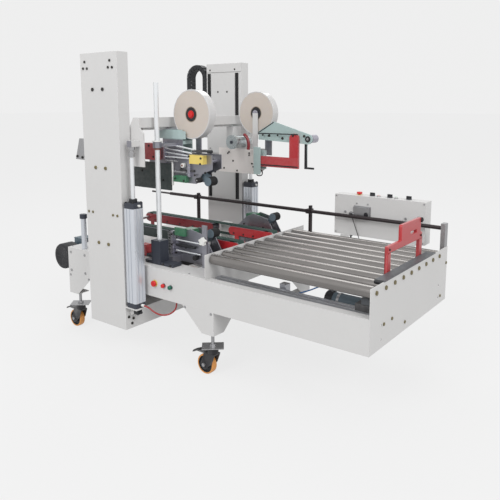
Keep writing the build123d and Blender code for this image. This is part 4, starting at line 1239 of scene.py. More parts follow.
@dataclass
class BeltLanes:
    """The two belt conveyors, their shafts and the drive motor."""

    fasteners: FastenerTree
    fins: FinTree
    lanes: Range = (-110.0, 190.0)
    motor: Point = (-960.0, -220.0, 405.0)

    def build(self) -> None:
        """Dresses the belts and builds the motor's details."""
        front, rear = self.lanes
        zones = [Zone(STEEL_PLATE, y=(lane - 27.1, lane + 27.1)) for lane in self.lanes]
        zones += [
            Zone(DARK_PLATE, y=(front - 35, front + 35), x=(-850, 130)),
            Zone(DEEP_RED, y=(rear - 35, rear + 35), x=(-850, -268)),
        ]
        redress("belt_conveyors", RED, zones, bevel=0.8)
        redress("belts", BELT, bevel=0.4)
        for node in ("belt_drive_shaft", "belt_tail_shaft"):
            redress(node, ZINC_PLATE, bevel=0.8)
        spots = []
        for lane in self.lanes:
            for side in (-1, 1):
                y = lane + side * 31.0
                for x in (-760, -650, -540, -430, -320, -110, -40, 30, 90):
                    spots.append(((x, y, 560.0), (0.0, float(side), 0.0)))
        self.fasteners.fit("lane_bolts", "base", CAP_SCREW, spots)
        self._motor()

    def _motor(self) -> None:
        """Builds the motor: finned housing, slotted fan cover, terminal box, gearbox and bracket."""
        x, _, z = self.motor
        axis = Along.Y
        centre = (x, 0.0, z)
        body = Shape()
        body.lathe(
            MOTOR_GREY, axis, centre, [(0, -322), (60, -322), (62, -318), (62, -124), (0, -124)], 56
        )
        body.lathe(
            MOTOR_GREY,
            axis,
            centre,
            [(0, -136), (66, -136), (67, -134), (67, -122), (64, -120), (0, -120)],
            56,
        )
        cover = [(0, -399), (66, -399), (72, -396.5), (75, -390), (75, -322), (70, -320), (0, -320)]
        body.lathe(BLACK_PLASTIC, axis, centre, cover, 64)
        for radius in (18, 27, 36, 45, 54):
            body.tube(BLACK_PAINT, axis, centre, (radius, radius + 3.5), (-400, -398), 56)
        for angle in range(0, 360, 45):
            turn = math.radians(angle)
            tip = (x + 60 * math.cos(turn), z + 60 * math.sin(turn))
            start = (x + 10 * math.cos(turn), z + 10 * math.sin(turn))
            body.wire(BLACK_PAINT, [(start[0], -398.6, start[1]), (tip[0], -398.6, tip[1])], 1.3, 6)
        body.box(MOTOR_GREY, (x - 40, x + 40), (-280, -200), (z + 55, z + 84))
        body.box(MOTOR_GREY, (x - 42, x + 42), (-282, -198), (z + 84, z + 88))
        body.rod(BLACK_PLASTIC, Along.X, (x + 40, -240, z + 68), 9, (0, 16), 2)
        body.box(MOTOR_GREY, (x - 55, x + 55), (-120, -10), (z - 60, z + 60))
        body.tube(ZINC_PLATE, axis, centre, (10, 34), (-11, 4), 40)
        body.box(PAINT, (x + 55, x + 63), (-130, 40), (z - 50, z + 50))
        body.box(PAINT, (x + 92, x + 100), (-130, 40), (z - 50, z + 50))
        body.box(PAINT, (x + 63, x + 92), (28, 40), (z - 50, z + 50))
        body.box(PAINT, (x + 63, x + 92), (-130, 28), (z + 42, z + 50))
        body.box(PAINT, (x + 63, x + 92), (-130, 28), (z - 50, z - 42))
        body.done("drive_motor_housing", "base", bevel=1.0, replaces=["drive_motor"])
        self.fins.ring("motor_fins", "base", (x, -229, z), 30, 63.0, (9.0, 2.4, 178.0), MOTOR_GREY)
        spots = [((x + a * 46, -10.0, z + b * 50), BACK) for a in (-1, 1) for b in (-1, 1)]
        self.fasteners.fit("gearbox_bolts", "base", HEX, spots)
        lid = [((x + a * 34, -240 + b * 34, z + 88), UP) for a in (-1, 1) for b in (-1, 1)]
        self.fasteners.fit("terminal_screws", "base", BUTTON_SCREW, lid)


def four_sides(side: Sequence[Range]) -> list[Range]:
    """Turns one side of a square outline a quarter at a time into the whole outline."""
    outline = []
    for turn in range(4):
        cos, sin = round(math.cos(math.pi / 2 * turn)), round(math.sin(math.pi / 2 * turn))
        outline += [(a * cos - b * sin, a * sin + b * cos) for a, b in side]
    return outline


@dataclass
class LiftBridge:
    """The cross beam, its carriages, the lift cylinders and the drag chain."""

    fasteners: FastenerTree
    cylinder_x: float = -229.0
    cylinder_y: float = 476.0
    half: float = 36.0
    bottom: float = 277.0
    top: float = 812.0

    def build(self) -> None:
        """Dresses the bridge and builds its cylinders and chain."""
        redress("bridge_beam", PAINT, [Zone(STEEL_PLATE, z=(1160, 1174.9))], bevel=1.0)
        redress(
            "carriages",
            PAINT,
            [
                Zone(STEEL_PLATE, y=(-520, -438.2)),
                Zone(STEEL_PLATE, y=(438.2, 520)),
                Zone(ZINC_PLATE, x=(-740, -545)),
            ],
            bevel=1.0,
        )
        redress(
            "piston_rods",
            CHROME,
            [Zone(ZINC_PLATE, z=(1030, 1090)), Zone(BLACK_PLASTIC, z=(500, 600))],
            bevel=0.5,
        )
        spots = []
        for side in (-1, 1):
            face = side * 430.0
            aim = (0.0, float(-side), 0.0)
            for x in (-520, -330, -290, -205):
                for z in (1012, 1120):
                    spots.append(((x, face, z), aim))
        self.fasteners.fit("carriage_screws", "bridge", SMALL_HEX, spots)
        tail = [((x, -430.0, z), BACK) for x, z in ((-712.0, 1012.0), (-668.0, 1008.0))]
        tail += [((x, -438.0, z), FRONT) for x, z in ((-712.0, 1012.0), (-668.0, 1008.0))]
        self.fasteners.fit("carriage_tail_screws", "bridge", BIG_CAP, tail)
        self._cylinders()
        self._chain()

    def _profile(self) -> list[Range]:
        """The cylinder tube's outline: a square with a groove pair on every side and cut corners."""
        half = self.half - 0.5
        quarter = [
            (half, -half + 9),
            (half, -13),
            (half - 3.5, -13),
            (half - 3.5, -9),
            (half, -9),
            (half, 9),
            (half - 3.5, 9),
            (half - 3.5, 13),
            (half, 13),
            (half, half - 9),
            (half - 3, half - 3),
        ]
        return four_sides(quarter)

    def _cylinders(self) -> None:
        """Builds both lift cylinders: grooved tube, end caps, gland and elbow fittings."""
        tubes = Shape()
        screws = []
        for side in (-1, 1):
            centre = (self.cylinder_x, side * self.cylinder_y, 0.0)
            tubes.prism(ALUMINIUM, Along.Z, self._profile(), (self.bottom + 26, self.top - 28), centre)
            cap = self.half + 0.8
            for low, high in ((self.bottom, self.bottom + 26), (self.top - 28, self.top)):
                tubes.prism(SLATE, Along.Z, self._square(cap - 2.6), (low, high), centre)
            tubes.tube(BLACK_PLASTIC, Along.Z, centre, (10.3, 19.5), (self.top, self.top + 17.5), 36)
            port = (self.cylinder_x + 37.5, side * self.cylinder_y, self.bottom + 15)
            tubes.rod(WHITE_PLASTIC, Along.X, port, 7.0, (-2.5, 19.6), 1.0)
            tubes.tube(ZINC_PLATE, Along.X, port, (5.0, 8.4), (-2.5, 4), 6)
            upper = (self.cylinder_x + 37.5, side * self.cylinder_y, self.top - 14)
            tubes.rod(WHITE_PLASTIC, Along.X, upper, 6.0, (-2.5, 10), 1.0)
            for a in (-1, 1):
                for b in (-1, 1):
                    screws.append(((centre[0] + a * 26, centre[1] + b * 26, self.top), UP))
        tubes.done("lift_cylinder_tubes", "base", bevel=0.7, replaces=["cylinder_barrels"])
        self.fasteners.fit("cylinder_tie_screws", "base", CAP_SCREW, screws)

    def _square(self, half: float) -> list[Range]:
        """A square outline with cut corners."""
        cut = 5.0
        return four_sides([(half, -half + cut), (half, half - cut)])

    def _chain(self) -> None:
        """Builds the drag chain's links along its bend between its two ends."""
        low, high = box_mm("drag_chain")
        left, right = low[0] + 16.0, high[0] - 16.0
        bend = (right - left) / 2
        top = high[2] - 16.0 - bend
        y = (low[1] + high[1]) / 2
        pitch = 24.0
        route: list[tuple[Vector, Vector]] = []
        length_leg = top - low[2]
        total = 2 * length_leg + math.pi * bend
        count = int(total / pitch)
        for index in range(count):
            run = (index + 0.5) * total / count
            if run < length_leg:
                spot, aim = Vector((left, y, low[2] + run)), Vector((0, 0, 1))
            elif run < length_leg + math.pi * bend:
                turn = (run - length_leg) / bend
                spot = Vector(((left + right) / 2 - bend * math.cos(turn), y, top + bend * math.sin(turn)))
                aim = Vector((math.sin(turn), 0, math.cos(turn)))
            else:
                down = run - length_leg - math.pi * bend
                spot, aim = Vector((right, y, top - down)), Vector((0, 0, -1))
            route.append((spot, aim))
        LinkTree().chain("drag_chain_links", route, total / count)


class LinkTree(Growth):
    """The node tree that sets a drag chain's links on points, each turned along its point's aim."""

    def __init__(self) -> None:
        """Builds the tree with its named inputs."""
        super().__init__("chain links", Pitch="float", Finish="material")
        wires, given = self.wires, self.given
        blocks = (
            ((1.06, 0.0040, 0.030), (0.0, 0.0238, 0.0)),
            ((1.06, 0.0040, 0.030), (0.0, -0.0238, 0.0)),
            ((0.90, 0.048, 0.0030), (0.0, 0.0, 0.0142)),
            ((0.90, 0.048, 0.0030), (0.0, 0.0, -0.0142)),
        )
        parts = []
        for (share, width, height), place in blocks:
            length = wires.math("MULTIPLY", given["Pitch"], share)
            size = wires.node("ShaderNodeCombineXYZ", X=length, Y=width, Z=height)
            plate = wires.node("GeometryNodeMeshCube", Size=size.outputs[0])
            moved = wires.node("GeometryNodeTransform", Geometry=plate.outputs[0], Translation=place)
            parts.append(moved.outputs[0])
        pin = wires.node("GeometryNodeMeshCylinder", Vertices=16, Radius=0.0070, Depth=0.0512)
        across = wires.node(
            "GeometryNodeTransform", Geometry=pin.outputs["Mesh"], Rotation=(math.pi / 2, 0.0, 0.0)
        )
        whole = self.joined((*parts, across.outputs[0]))
        self.finished(self.spread(given["Geometry"], whole, self.along_aim(axis="X", pivot_axis="Y")))

    def chain(self, name: str, route: Sequence[tuple[Vector, Vector]], pitch: float) -> bpy.types.Object:
        """Builds a chain.

        Args:
            name: The piece's name.
            route: The links' centres in millimetres and directions.
            pitch: The length of a link in millimetres.

        Returns:
            The piece, bent in a fixed shape between the bridge and the base.
        """
        values = {"Pitch": pitch * MM, "Finish": BLACK_PLASTIC.material()}
        piece = self.grow(name, self.aimed(name, route), values)
        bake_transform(piece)
        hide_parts("drag_chain")
        return piece


@dataclass
class TapeHeads:
    """The four tape heads: plates, rollers, springs, blades and tape rolls.

    What the front upper head carries starts at face_y, 0.2 mm off its outer plate.
    """

    fasteners: FastenerTree
    front_y: float = -218.0
    rear_y: float = 316.0
    face_y: float = -254.2
    inside: float = 32.0

    def build(self) -> None:
        """Dresses the heads and builds what each carries."""
        self._front_upper()
        self._rear_upper()
        self._lower("front_lower_head", "front_lower_head", self.front_y)
        self._lower("rear_lower_head", "base", self.rear_y)
        for node, front in (
            ("upper_front", True), ("upper_rear", False), ("lower_front", True), ("lower_rear", False)
        ):
            self._tape_roll(node + "_tape_roll", front)
        for node in ("upper_front", "lower_front", "lower_rear"):
            self._roller_arm(node + "_roller_arm")
        self._rear_arm()

    def _front_upper(self) -> None:
        """Dresses the front upper head and builds the works on its outer side."""
        y, face = self.front_y, self.face_y
        zones = [
            Zone(TEAL, x=(-240, -100), z=(1045, 1163), y=(y - 36.5, y + 36.5)),
            Zone(RED, x=(-337, -250), y=(-300, -261.5), z=(1000, 1095)),
            Zone(DARK_PLATE, x=(-475, -175), y=(-263, -253), z=(845, 995)),
            Zone(YELLOW, x=(-30, 60), y=(-290, -253.5), z=(995, 1046)),
            Zone(COPPER, x=(-203, -157), y=(-375, -329), z=(1074.9, 1081.9)),
            Zone(WHITE_PLASTIC, x=(-203, -157), y=(-375, -329), z=(1098.1, 1106)),
            Zone(ALUMINIUM_X, z=(1108, 1175)),
        ]
        redress("front_upper_head", STEEL_PLATE, zones, bevel=0.8)
        self._between("front_upper_works", "front_upper_head", y, 897, 1045, (-150, 60))
        works = Shape()
        ends = (
            ((-219, 1092), (-10, 1067)),
            ((-220, 1070), (-26, 1049)),
            ((-221, 1048), (-40, 1034)),
            ((-221, 1025), (-45, 1023)),
        )
        for step, (start, end) in enumerate(ends):
            side = -262.0 - 3.0 * (step % 2)
            works.wire(CHROME, [(start[0], side, start[1]), (end[0], side, end[1])], 4.4, 14)
        works.box(TEAL, (-262, -78), (-256.2, face), (1117, 1156))
        works.box(STEEL_PLATE, (-241, -99), (-255.6, -254.1), (1044, 1114))
        works.prism(
            LAVENDER, Along.Y, [(1014, -224), (1014, -212), (1100, -210), (1100, -222)], (-271, face)
        )
        works.prism(
            BLACK_PAINT,
            Along.Y,
            [(1056, -12), (1060, 98), (1068, 101), (1072, 60), (1066, -12)],
            (-281, -258),
        )
        works.rod(BLACK_PLASTIC, Along.Y, (96, 0, 1064), 8.0, (-286, -256), 1.2)
        works.rod(WHITE_PLASTIC, Along.Z, (-165, -264, 879), 5.0, (0, 129), 0.8)
        works.prism(
            GREEN, Along.Y, [(902, -150), (900, -62), (934, -60), (937, -118), (930, -150)], (-276, face)
        )
        works.rod(RUBBER, Along.Y, (21, 0, 920), 13.0, (-284, face), 2.0)
        works.rod(ZINC_PLATE, Along.Y, (21, 0, 920), 4.5, (-287, -283), 0.6, 6)
        works.rod(WHITE_PLASTIC, Along.Y, (-88, 0, 986), 12.0, (-274, face), 1.5)
        works.rod(COPPER, Along.Y, (-88, 0, 986), 5.0, (-277, -273), 0.6)
        works.box(BLACK_PAINT, (-118, -20), (-262, face), (955, 966))
        works.box(LAVENDER, (-58, -40), (-268, face), (930, 1012))
        works.spring(ZINC_PLATE, Along.X, (0, -268, 952), 5.5, (-150, -66), 15, 1.2)
        works.spring(ZINC_PLATE, Along.X, (0, -270, 1006), 5.0, (-205, -124), 16, 1.1)
        works.tube(WHITE_PLASTIC, Along.Z, (-180, -352, 0), (12.8, 26.0), (1106, 1111), 40)
        works.tube(COPPER, Along.Z, (-180, -352, 0), (12.7, 17.0), (1066, 1075), 36)
        works.done("front_upper_outer_works", "front_upper_head", bevel=0.6)
        places = (
            (-300, 1078),
            (-268, 1022),
            (-396, 1062),
            (-396, 940),
            (-210, 1086),
            (-236, 900),
            (-30, 1036),
            (44, 1002),
            (-136, 918),
            (-76, 910),
            (-12, 942),
            (48, 1030),
        )
        spots = [((x, self._carried(x, z), z), FRONT) for x, z in places]
        self.fasteners.fit("front_upper_outer_screws", "front_upper_head", CAP_SCREW, spots)

    @staticmethod
    def _carried(x: float, z: float) -> float:
        """The outer plane of what the front upper head carries at a place."""
        if -337 < x < -250 and z > 1005:
            return -298.0
        if -30 <= x <= 60 and z > 1000:
            return -284.0
        return -276.0 if -150 < x < -60 and z < 930 else -263.0

    def _rear_upper(self) -> None:
        """Dresses the rear upper head, its guard and its small cylinder."""
        y = self.rear_y
        zones = [
            Zone(RED, x=(-4, 262), y=(249, 266.2), z=(940, 1140)),
            Zone(TEAL, x=(-20, 30), y=(279.5, 284.5), z=(925, 1036)),
            # The cheek plate takes the grey paint made light as painted light, since it lies in shade.
            Zone(PAINTED_LIGHT_PLATE, y=(279.5, 284.5), z=(880, 1040)),
            Zone(SILVER, x=(-182, -98), y=(179, 333), z=(1036, 1120)),
            Zone(TEAL, x=(-262, -212), z=(1036.2, 1164)),
            Zone(LAVENDER, x=(-72, -30), y=(283, 289), z=(1036.2, 1262)),
            Zone(STEEL_PLATE, y=(284.2, 347.8)),
        ]
        redress("rear_upper_head", PAINT, zones, bevel=0.8)
        self._between("rear_upper_works", "bridge", y, 892, 1030, (-250, -60))
        extra = Shape()
        extra.tube(SLATE, Along.Y, (-140, 0, 1078), (33.6, 35.4), (189, 200), 44)
        extra.rod(SLATE, Along.Y, (-140, 0, 1078), 9.0, (175, 181), 1.0)
        extra.box(TEAL, (-32, 16), (244, 247), (898, 1052))
        extra.box(TEAL, (-32, -28), (247, 279.5), (898, 1052))
        for z in (955.0, 1130.0):
            extra.box(BLACK_PLASTIC, (-4, 262), (247.2, 249.0), (z - 3, z + 3))
        hook = [(-100, 246, 1120), (-82, 244, 1108), (-70, 243, 1086), (-66, 243, 1060), (-70, 244, 1036)]
        extra.wire(DEEP_RED, smooth_route(hook), 9.0, 12)
        extra.tube(BLACK_PLASTIC, Along.Y, (-36, 0, 918), (8.0, 17.0), (270, 279), 36)
        extra.wire(
            BLACK_PLASTIC,
            smooth_route([(-36, 272, 902), (-20, 270, 888), (6, 270, 892), (10, 272, 912), (-6, 274, 924)]),
            3.0,
        )
        extra.done("rear_upper_extras", "bridge", bevel=0.5)
        spots = [((x, 249.0, 1122.0), FRONT) for x in (30.0, 130.0, 230.0)]
        spots += [
            ((x, 280.0, z), FRONT)
            for x, z in ((-240.0, 1012.0), (-90.0, 1012.0), (-60.0, 935.0), (-180.0, 905.0))
        ]
        self.fasteners.fit("rear_upper_bolts", "bridge", CAP_SCREW, spots)

    def _between(self, name: str, body: str, y: float, low: float, high: float, reach: Range) -> None:
        """Adds the guide rollers and spring between a head's side plates.

        Args:
            name: The piece's name.
            body: The body it rides on.
            y: The head's middle plane.
            low: The side plates' lower edge.
            high: Their upper edge.
            reach: Where the rollers sit along X.
        """
        works = Shape()
        inside = self.inside - 0.6
        middle = (low + high) / 2
        left, right = reach
        for x, z, radius in ((left, high - 26, 11), (right - 30, high - 30, 13), (left + 40, middle, 9)):
            works.rod(WHITE_PLASTIC, Along.Y, (x, y, z), radius, (-inside + 4, inside - 4), 1.2)
            works.rod(ZINC_PLATE, Along.Y, (x, y, z), 3.5, (-inside, inside), 0.4)
        works.spring(ZINC_PLATE, Along.X, (0, y + 12, middle + 18), 6.0, (left + 6, right - 46), 14, 1.1)
        works.done(name, body)
        spots = []
        for side in (-1, 1):
            face = y + side * 36.0
            for x, z in (
                (left, high - 26),
                (right - 30, high - 30),
                (left + 40, middle),
                (left - 30, low + 22),
                (right - 10, low + 60),
            ):
                spots.append(((x, face, z), (0.0, float(side), 0.0)))
        self.fasteners.fit(name + "_screws", body, CAP_SCREW, spots)

    def _lower(self, node: str, body: str, y: float) -> None:
        """Dresses a lower head."""
        zones = [
            Zone(GREEN, x=(-118, -62), y=(y - 32.1, y + 32.1), z=(620, 656)),
            Zone(CHROME, x=(-193, -167), y=(-366, -338), z=(480, 1400)),
            Zone(WHITE_PLASTIC, x=(-262, -202), y=(226, 262)),
            Zone(SLATE, x=(-213, -147), y=(-383, -321), z=(480, 610)),
        ]
        redress(node, STEEL_PLATE, zones, bevel=0.8)
        self._between(node + "_works", body, y, 500, 618, (-130, 40))
        if node.startswith("front"):
            self._lower_works()

    def _lower_works(self) -> None:
        """Builds the blocks, spring and bars on the outer side of the front lower head."""
        works = Shape()
        works.box(RED, (-388, -340), (-300, -262), (486, 546))
        works.box(SLATE, (-340, -213.5), (-300, -262), (486, 500))
        works.box(SLATE, (-146.5, -62), (-380, -318), (484.6, 500))
        works.box(SLATE, (-262, -213.5), (-380, -318), (484.6, 500))
        works.spring(ZINC_PLATE, Along.Z, (-192, -270, 0), 8.0, (502, 634), 16, 1.6)
        works.rod(BLACK_PLASTIC, Along.Z, (-192, -270, 0), 5.0, (501, 642), 1.0)
        works.box(GREEN, (-156, -84), (-270, -254.5), (620, 662))
        works.rod(BLACK_PLASTIC, Along.X, (0, -266, 570), 6.0, (-150, -14), 1.0)
        works.rod(CHROME, Along.X, (0, -264, 540), 4.0, (-150, 20), 1.0)
        works.rod(CHROME, Along.X, (0, -264, 596), 4.0, (-150, 30), 1.0)
        works.rod(RUBBER, Along.Y, (-12, 0, 520), 12.0, (-280, -256), 2.0)
        works.box(LAVENDER, (-176, -164), (-276, -254.5), (500, 640))
        works.done("front_lower_outer_works", "front_lower_head", bevel=0.8)
        spots = [((-364.0, -300.0, z), FRONT) for z in (504.0, 530.0)]
        spots += [((x, -380.0, 492.0), FRONT) for x in (-240.0, -130.0, -80.0)]
        spots += [((-170.0, -276.0, z), FRONT) for z in (516.0, 570.0, 624.0)]
        self.fasteners.fit("front_lower_outer_screws", "front_lower_head", CAP_SCREW, spots)

    def _tape_roll(self, node: str, front: bool) -> None:
        """Turns a tape roll: wound tape, card core, hub and hand nut."""
        low, high = box_mm(node)
        centre = tuple((a + b) / 2 for a, b in zip(low, high))
        radius = (high[2] - low[2]) / 2
        half = (high[1] - low[1]) / 2
        roll = Shape()
        inner = 39.0
        wound = [
            (inner, -half + 0.6),
            (radius - 0.8, -half + 0.4),
            (radius, -half + 1.4),
            (radius, half - 1.4),
            (radius - 0.8, half - 0.4),
            (inner, half - 0.6),
        ]
        roll.lathe(TAPE, Along.Y, centre, wound, 96)
        for vert in roll.form.verts:
            spot = vert.co / MM - Vector(centre)
            vert[roll.ring] = math.hypot(spot.x, spot.z) * MM
        rim = [
            (radius - 5.0, -half + 0.2),
            (radius - 1.0, -half),
            (radius + 0.1, -half + 1.2),
            (radius + 0.1, half - 1.2),
            (radius - 1.0, half),
            (radius - 5.0, half - 0.2),
        ]
        roll.lathe(TAPE_RIM, Along.Y, centre, rim, 96)
        roll.tube(CARD, Along.Y, centre, (35.0, inner), (-half + 0.2, half - 0.2), 64)
        roll.tube(BLACK_PLASTIC, Along.Y, centre, (10.1, 35.0), (-half + 5, half - 5), 64)
        roll.tube(BLACK_PLASTIC, Along.Y, centre, (20.0, 34.0), (-half - 1.0, half + 1.0), 64)
        if front:
            roll.tube(RED_PLASTIC, Along.Y, centre, (10.1, 19.5), (-half - 2.0, half + 2.0), 48)
        else:
            roll.tube(BLACK_PLASTIC, Along.Y, centre, (10.1, 16.0), (-half - 2.0, half + 2.0), 48)
        roll.done(node + "_wound", node, replaces=[node])
        if front:
            body = "front_upper_head" if node.startswith("upper") else "front_lower_head"
            nut = Shape()
            nut.rod(RED_PLASTIC, Along.Y, centre, 15.0, (-half - 8.0, -half - 2.4), 2.0)
            nut.done(node + "_hand_nut", body)

    def _roller_arm(self, node: str) -> None:
        """Dresses a roller arm and its rubber roller."""
        low, high = box_mm(node)
        joint = next(item for item in frame["joints"] if item["child"] == node)
        pivot = [value / MM for value in joint["pos_m"]]
        redress(
            node,
            MOTOR_GREY,
            [Zone(ZINC_PLATE, x=(pivot[0] - 6.2, pivot[0] + 6.2), z=(pivot[2] - 6.2, pivot[2] + 6.2))],
            bevel=0.6,
        )
        roller_x = high[0] - 22 if abs(high[0] - pivot[0]) > abs(low[0] - pivot[0]) else low[0] + 22
        roller_z = low[2] + 22 if pivot[2] > (low[2] + high[2]) / 2 + 5 else high[2] - 22
        cover = Shape()
        middle = (low[1] + high[1]) / 2
        profile = [(22.05, -24)]
        for step in range(12):
            along = -23 + step * 4
            profile += [(23.2, along), (23.2, along + 2.4), (21.9, along + 2.8), (21.9, along + 3.6)]
        profile += [(22.05, 25), (10.0, 25), (10.0, -24)]
        cover.lathe(RUBBER, Along.Y, (roller_x, middle, roller_z), profile, 40)
        cover.done(node + "_tread", node)

    def _rear_arm(self) -> None:
        """Dresses the rear head's long roller arm."""
        node = "upper_rear_roller_arm"
        zones = [
            Zone(LAVENDER, y=(285, 350), x=(285, 345), z=(1080, 1135)),
            Zone(BLACK_PLASTIC, y=(275, 290), z=(940, 1083)),
        ]
        redress(node, TEAL, zones, bevel=0.8)
        spots = [((x, 268.0, z), FRONT) for x, z in ((60.0, 1118.0), (150.0, 1106.0), (290.0, 1122.0))]
        self.fasteners.fit("rear_arm_screws", node, BIG_CAP, spots)
        edge = Shape()
        rim = [(-10.0, 1138.0), (88.0, 1194.0), (91.0, 1190.0), (-8.0, 1133.0)]
        edge.prism(BLACK_PLASTIC, Along.Y, [(z, x) for x, z in rim], (266.8, 277.2))
        edge.rod(BLACK_PLASTIC, Along.Y, (312, 0, 1106), 17.0, (265.0, 269.0), 1.5)
        edge.rod(ZINC_PLATE, Along.Y, (312, 0, 1106), 8.0, (262.5, 266.0), 1.0, 6)
        edge.done("rear_arm_edge", node, bevel=0.5)


@dataclass
class Controls:
    """The control box, its knobs and lamps, the beam's buttons, the limit switch and the guide rail."""

    fasteners: FastenerTree
    knob_x: tuple[float, ...] = (597.0, 697.0, 802.0)
    top: float = 802.0
    middle: float = 474.5

    def build(self) -> None:
        """Dresses the controls, with their lamps, and adds their bezels, the box's door and cable and the
        switch's bracket.
        """
        zones = [
            Zone(ZINC_PLATE, x=(511, 606), y=(418, 437.2), z=(680, 745)),
            Zone(BLACK_PLASTIC, x=(485, 612), y=(410, 436.9), z=(680, 745)),
            Zone(RED_LAMP, x=(624, 644), z=(802.05, 815)),
            Zone(GREEN_LAMP, x=(722, 742), z=(802.05, 815)),
        ]
        redress("control_box", PAINT, zones, bevel=1.4)
        redress("switch_lever", BLACK_PAINT, bevel=0.2)
        redress(
            "guide_rail",
            RAIL_BROWN,
            [Zone(ZINC_PLATE, x=(1003, 1030), z=(300, 760)), Zone(LAVENDER, x=(-1035, -857), z=(680, 704))],
            bevel=0.6,
        )
        redress("emergency_stop", RED_PLASTIC, bevel=0.5)
        redress("stop_button", RED_PLASTIC, bevel=0.5)
        redress("start_button", GREEN_PLASTIC, bevel=0.5)
        redress("box_stop_button", RED_PLASTIC, bevel=0.5)
        redress("star_knob", WHITE_PLASTIC, [Zone(ZINC_PLATE, y=(-280.5, -240))], bevel=1.0)
        for index in range(3):
            redress(f"selector_knob_{index + 1}", BLACK_PLASTIC, bevel=0.8)
        self._bezels()
        self._box_details()
        self._switch()

    def _bezels(self) -> None:
        """Adds the rings round the buttons, knobs and lamps."""
        rings = Shape()
        for x in self.knob_x:
            rings.tube(ALUMINIUM_X, Along.Z, (x, self.middle, self.top), (5.2, 15.5), (0, 1.4), 36)
        for x in (634.0, 732.0):
            rings.tube(ZINC_PLATE, Along.Z, (x, self.middle, self.top), (8.2, 11.5), (0, 3.0), 32)
        rings.tube(YELLOW, Along.Z, (520.0, self.middle, self.top), (6.3, 17.5), (0, 1.6), 36)
        for x, radius in ((-145.0, 18.0), (-81.0, 13.0), (-33.0, 13.0)):
            finish = YELLOW if radius > 15 else ZINC_PLATE
            rings.tube(finish, Along.Y, (x, -425.0, 402.0), (6.3, radius), (-1.6, 0), 36)
        rings.done("button_bezels", "base")

    def _box_details(self) -> None:
        """Adds the control box's door, hinges, gland and cable."""
        door = Shape()
        door.box(PAINT, (402, 896), (511.9, 513.8), (594, 788))
        for z in (640.0, 740.0):
            door.rod(ZINC_PLATE, Along.Z, (890, 513.0, z), 1.9, (-18, 18), 0.4)
        door.rod(BLACK_PLASTIC, Along.Y, (416, 0, 690), 9, (513.6, 514.9), 0.4)
        door.done("control_box_door", "base", bevel=0.5)
        cable = Shape()
        cable.rod(BLACK_PLASTIC, Along.Z, (470, 482, 580), 9, (-16, 0), 1.5, 20)
        route = [
            (470, 482, 566),
            (470, 481, 540),
            (472, 474, 500),
            (478, 458, 462),
            (482, 446, 440),
            (484, 434, 424),
            (484, 424, 420),
        ]
        cable.wire(BLACK_PLASTIC, smooth_route(route), 4.5, 12)
        cable.done("control_box_cable", "base")
        spots = [((x, 437.0, z), FRONT) for x in (399.0, 899.0) for z in (590.0, 792.0)]
        spots += [((x, 437.0, z), FRONT) for x, z in ((525.0, 760.0), (590.0, 760.0))]
        self.fasteners.fit("control_box_screws", "base", BUTTON_SCREW, spots)

    def _switch(self) -> None:
        """Adds the limit switch's bracket, pivot ring and round knob."""
        switch = Shape()
        switch.box(ZINC_PLATE, (508, 608), (435.2, 436.8), (678, 748))
        switch.rod(BLACK_PAINT, Along.Y, (590, 0, 707), 12, (413, 419), 1.4)
        switch.tube(ZINC_PLATE, Along.Y, (503, 0, 699), (4.3, 13.0), (417.4, 419), 32)
        switch.done("limit_switch_bracket", "base", bevel=0.4)


@dataclass
class Casters:
    """The four casters: fork, wheel and axle nuts."""

    names: tuple[str, ...] = ("front_right", "front_left", "rear_right", "rear_left")

    def build(self) -> None:
        """Dresses each fork and turns each wheel."""
        for name in self.names:
            fork = f"{name}_caster_fork"
            low, high = box_mm(f"{name}_caster_wheel")
            centre = tuple((a + b) / 2 for a, b in zip(low, high))
            nuts = Zone(ZINC_PLATE, x=(centre[0] - 11, centre[0] + 11), z=(39, 61))
            race = Zone(ZINC_PLATE, z=(126, 144))
            redress(fork, BLACK_PAINT, [nuts, race], bevel=0.8)
            self._wheel(name, centre)
            self._brake(name, fork, centre)

    def _wheel(self, name: str, centre: Point) -> None:
        """Turns a wheel: crowned tread, dished core and bearing."""
        wheel = Shape()
        tread = [
            (42, -15), (47.5, -15.5), (49.4, -13), (50, -6), (50, 6), (49.4, 13), (47.5, 15.5), (42, 15)
        ]
        wheel.lathe(AMBER, Along.Y, centre, tread, 64)
        core = [
            (14, -15.8),
            (18, -15.8),
            (20, -8),
            (36, -8),
            (39, -14.6),
            (42, -14.8),
            (42, 14.8),
            (39, 14.6),
            (36, 8),
            (20, 8),
            (18, 15.8),
            (14, 15.8),
        ]
        wheel.lathe(BLACK_PLASTIC, Along.Y, centre, core, 56)
        wheel.tube(ZINC_PLATE, Along.Y, centre, (6.06, 14.0), (-16, 16), 36)
        wheel.done(f"{name}_wheel", f"{name}_caster_wheel", replaces=[f"{name}_caster_wheel"])

    def _brake(self, name: str, fork: str, centre: Point) -> None:
        """Adds the brake's shoe and the ridges of its pedal."""
        brake = Shape()
        brake.box(
            ZINC_PLATE, (centre[0] - 30, centre[0] + 10), (centre[1] - 12, centre[1] + 12), (101.5, 105)
        )
        for step in range(4):
            x = centre[0] - 78 + step * 9
            brake.rod(
                BLACK_PAINT, Along.Y, (x, centre[1], 112.0 - (3 - step) * 4.0), 1.6, (-15, 15), 0.4, 10
            )
        brake.done(f"{name}_brake", fork)


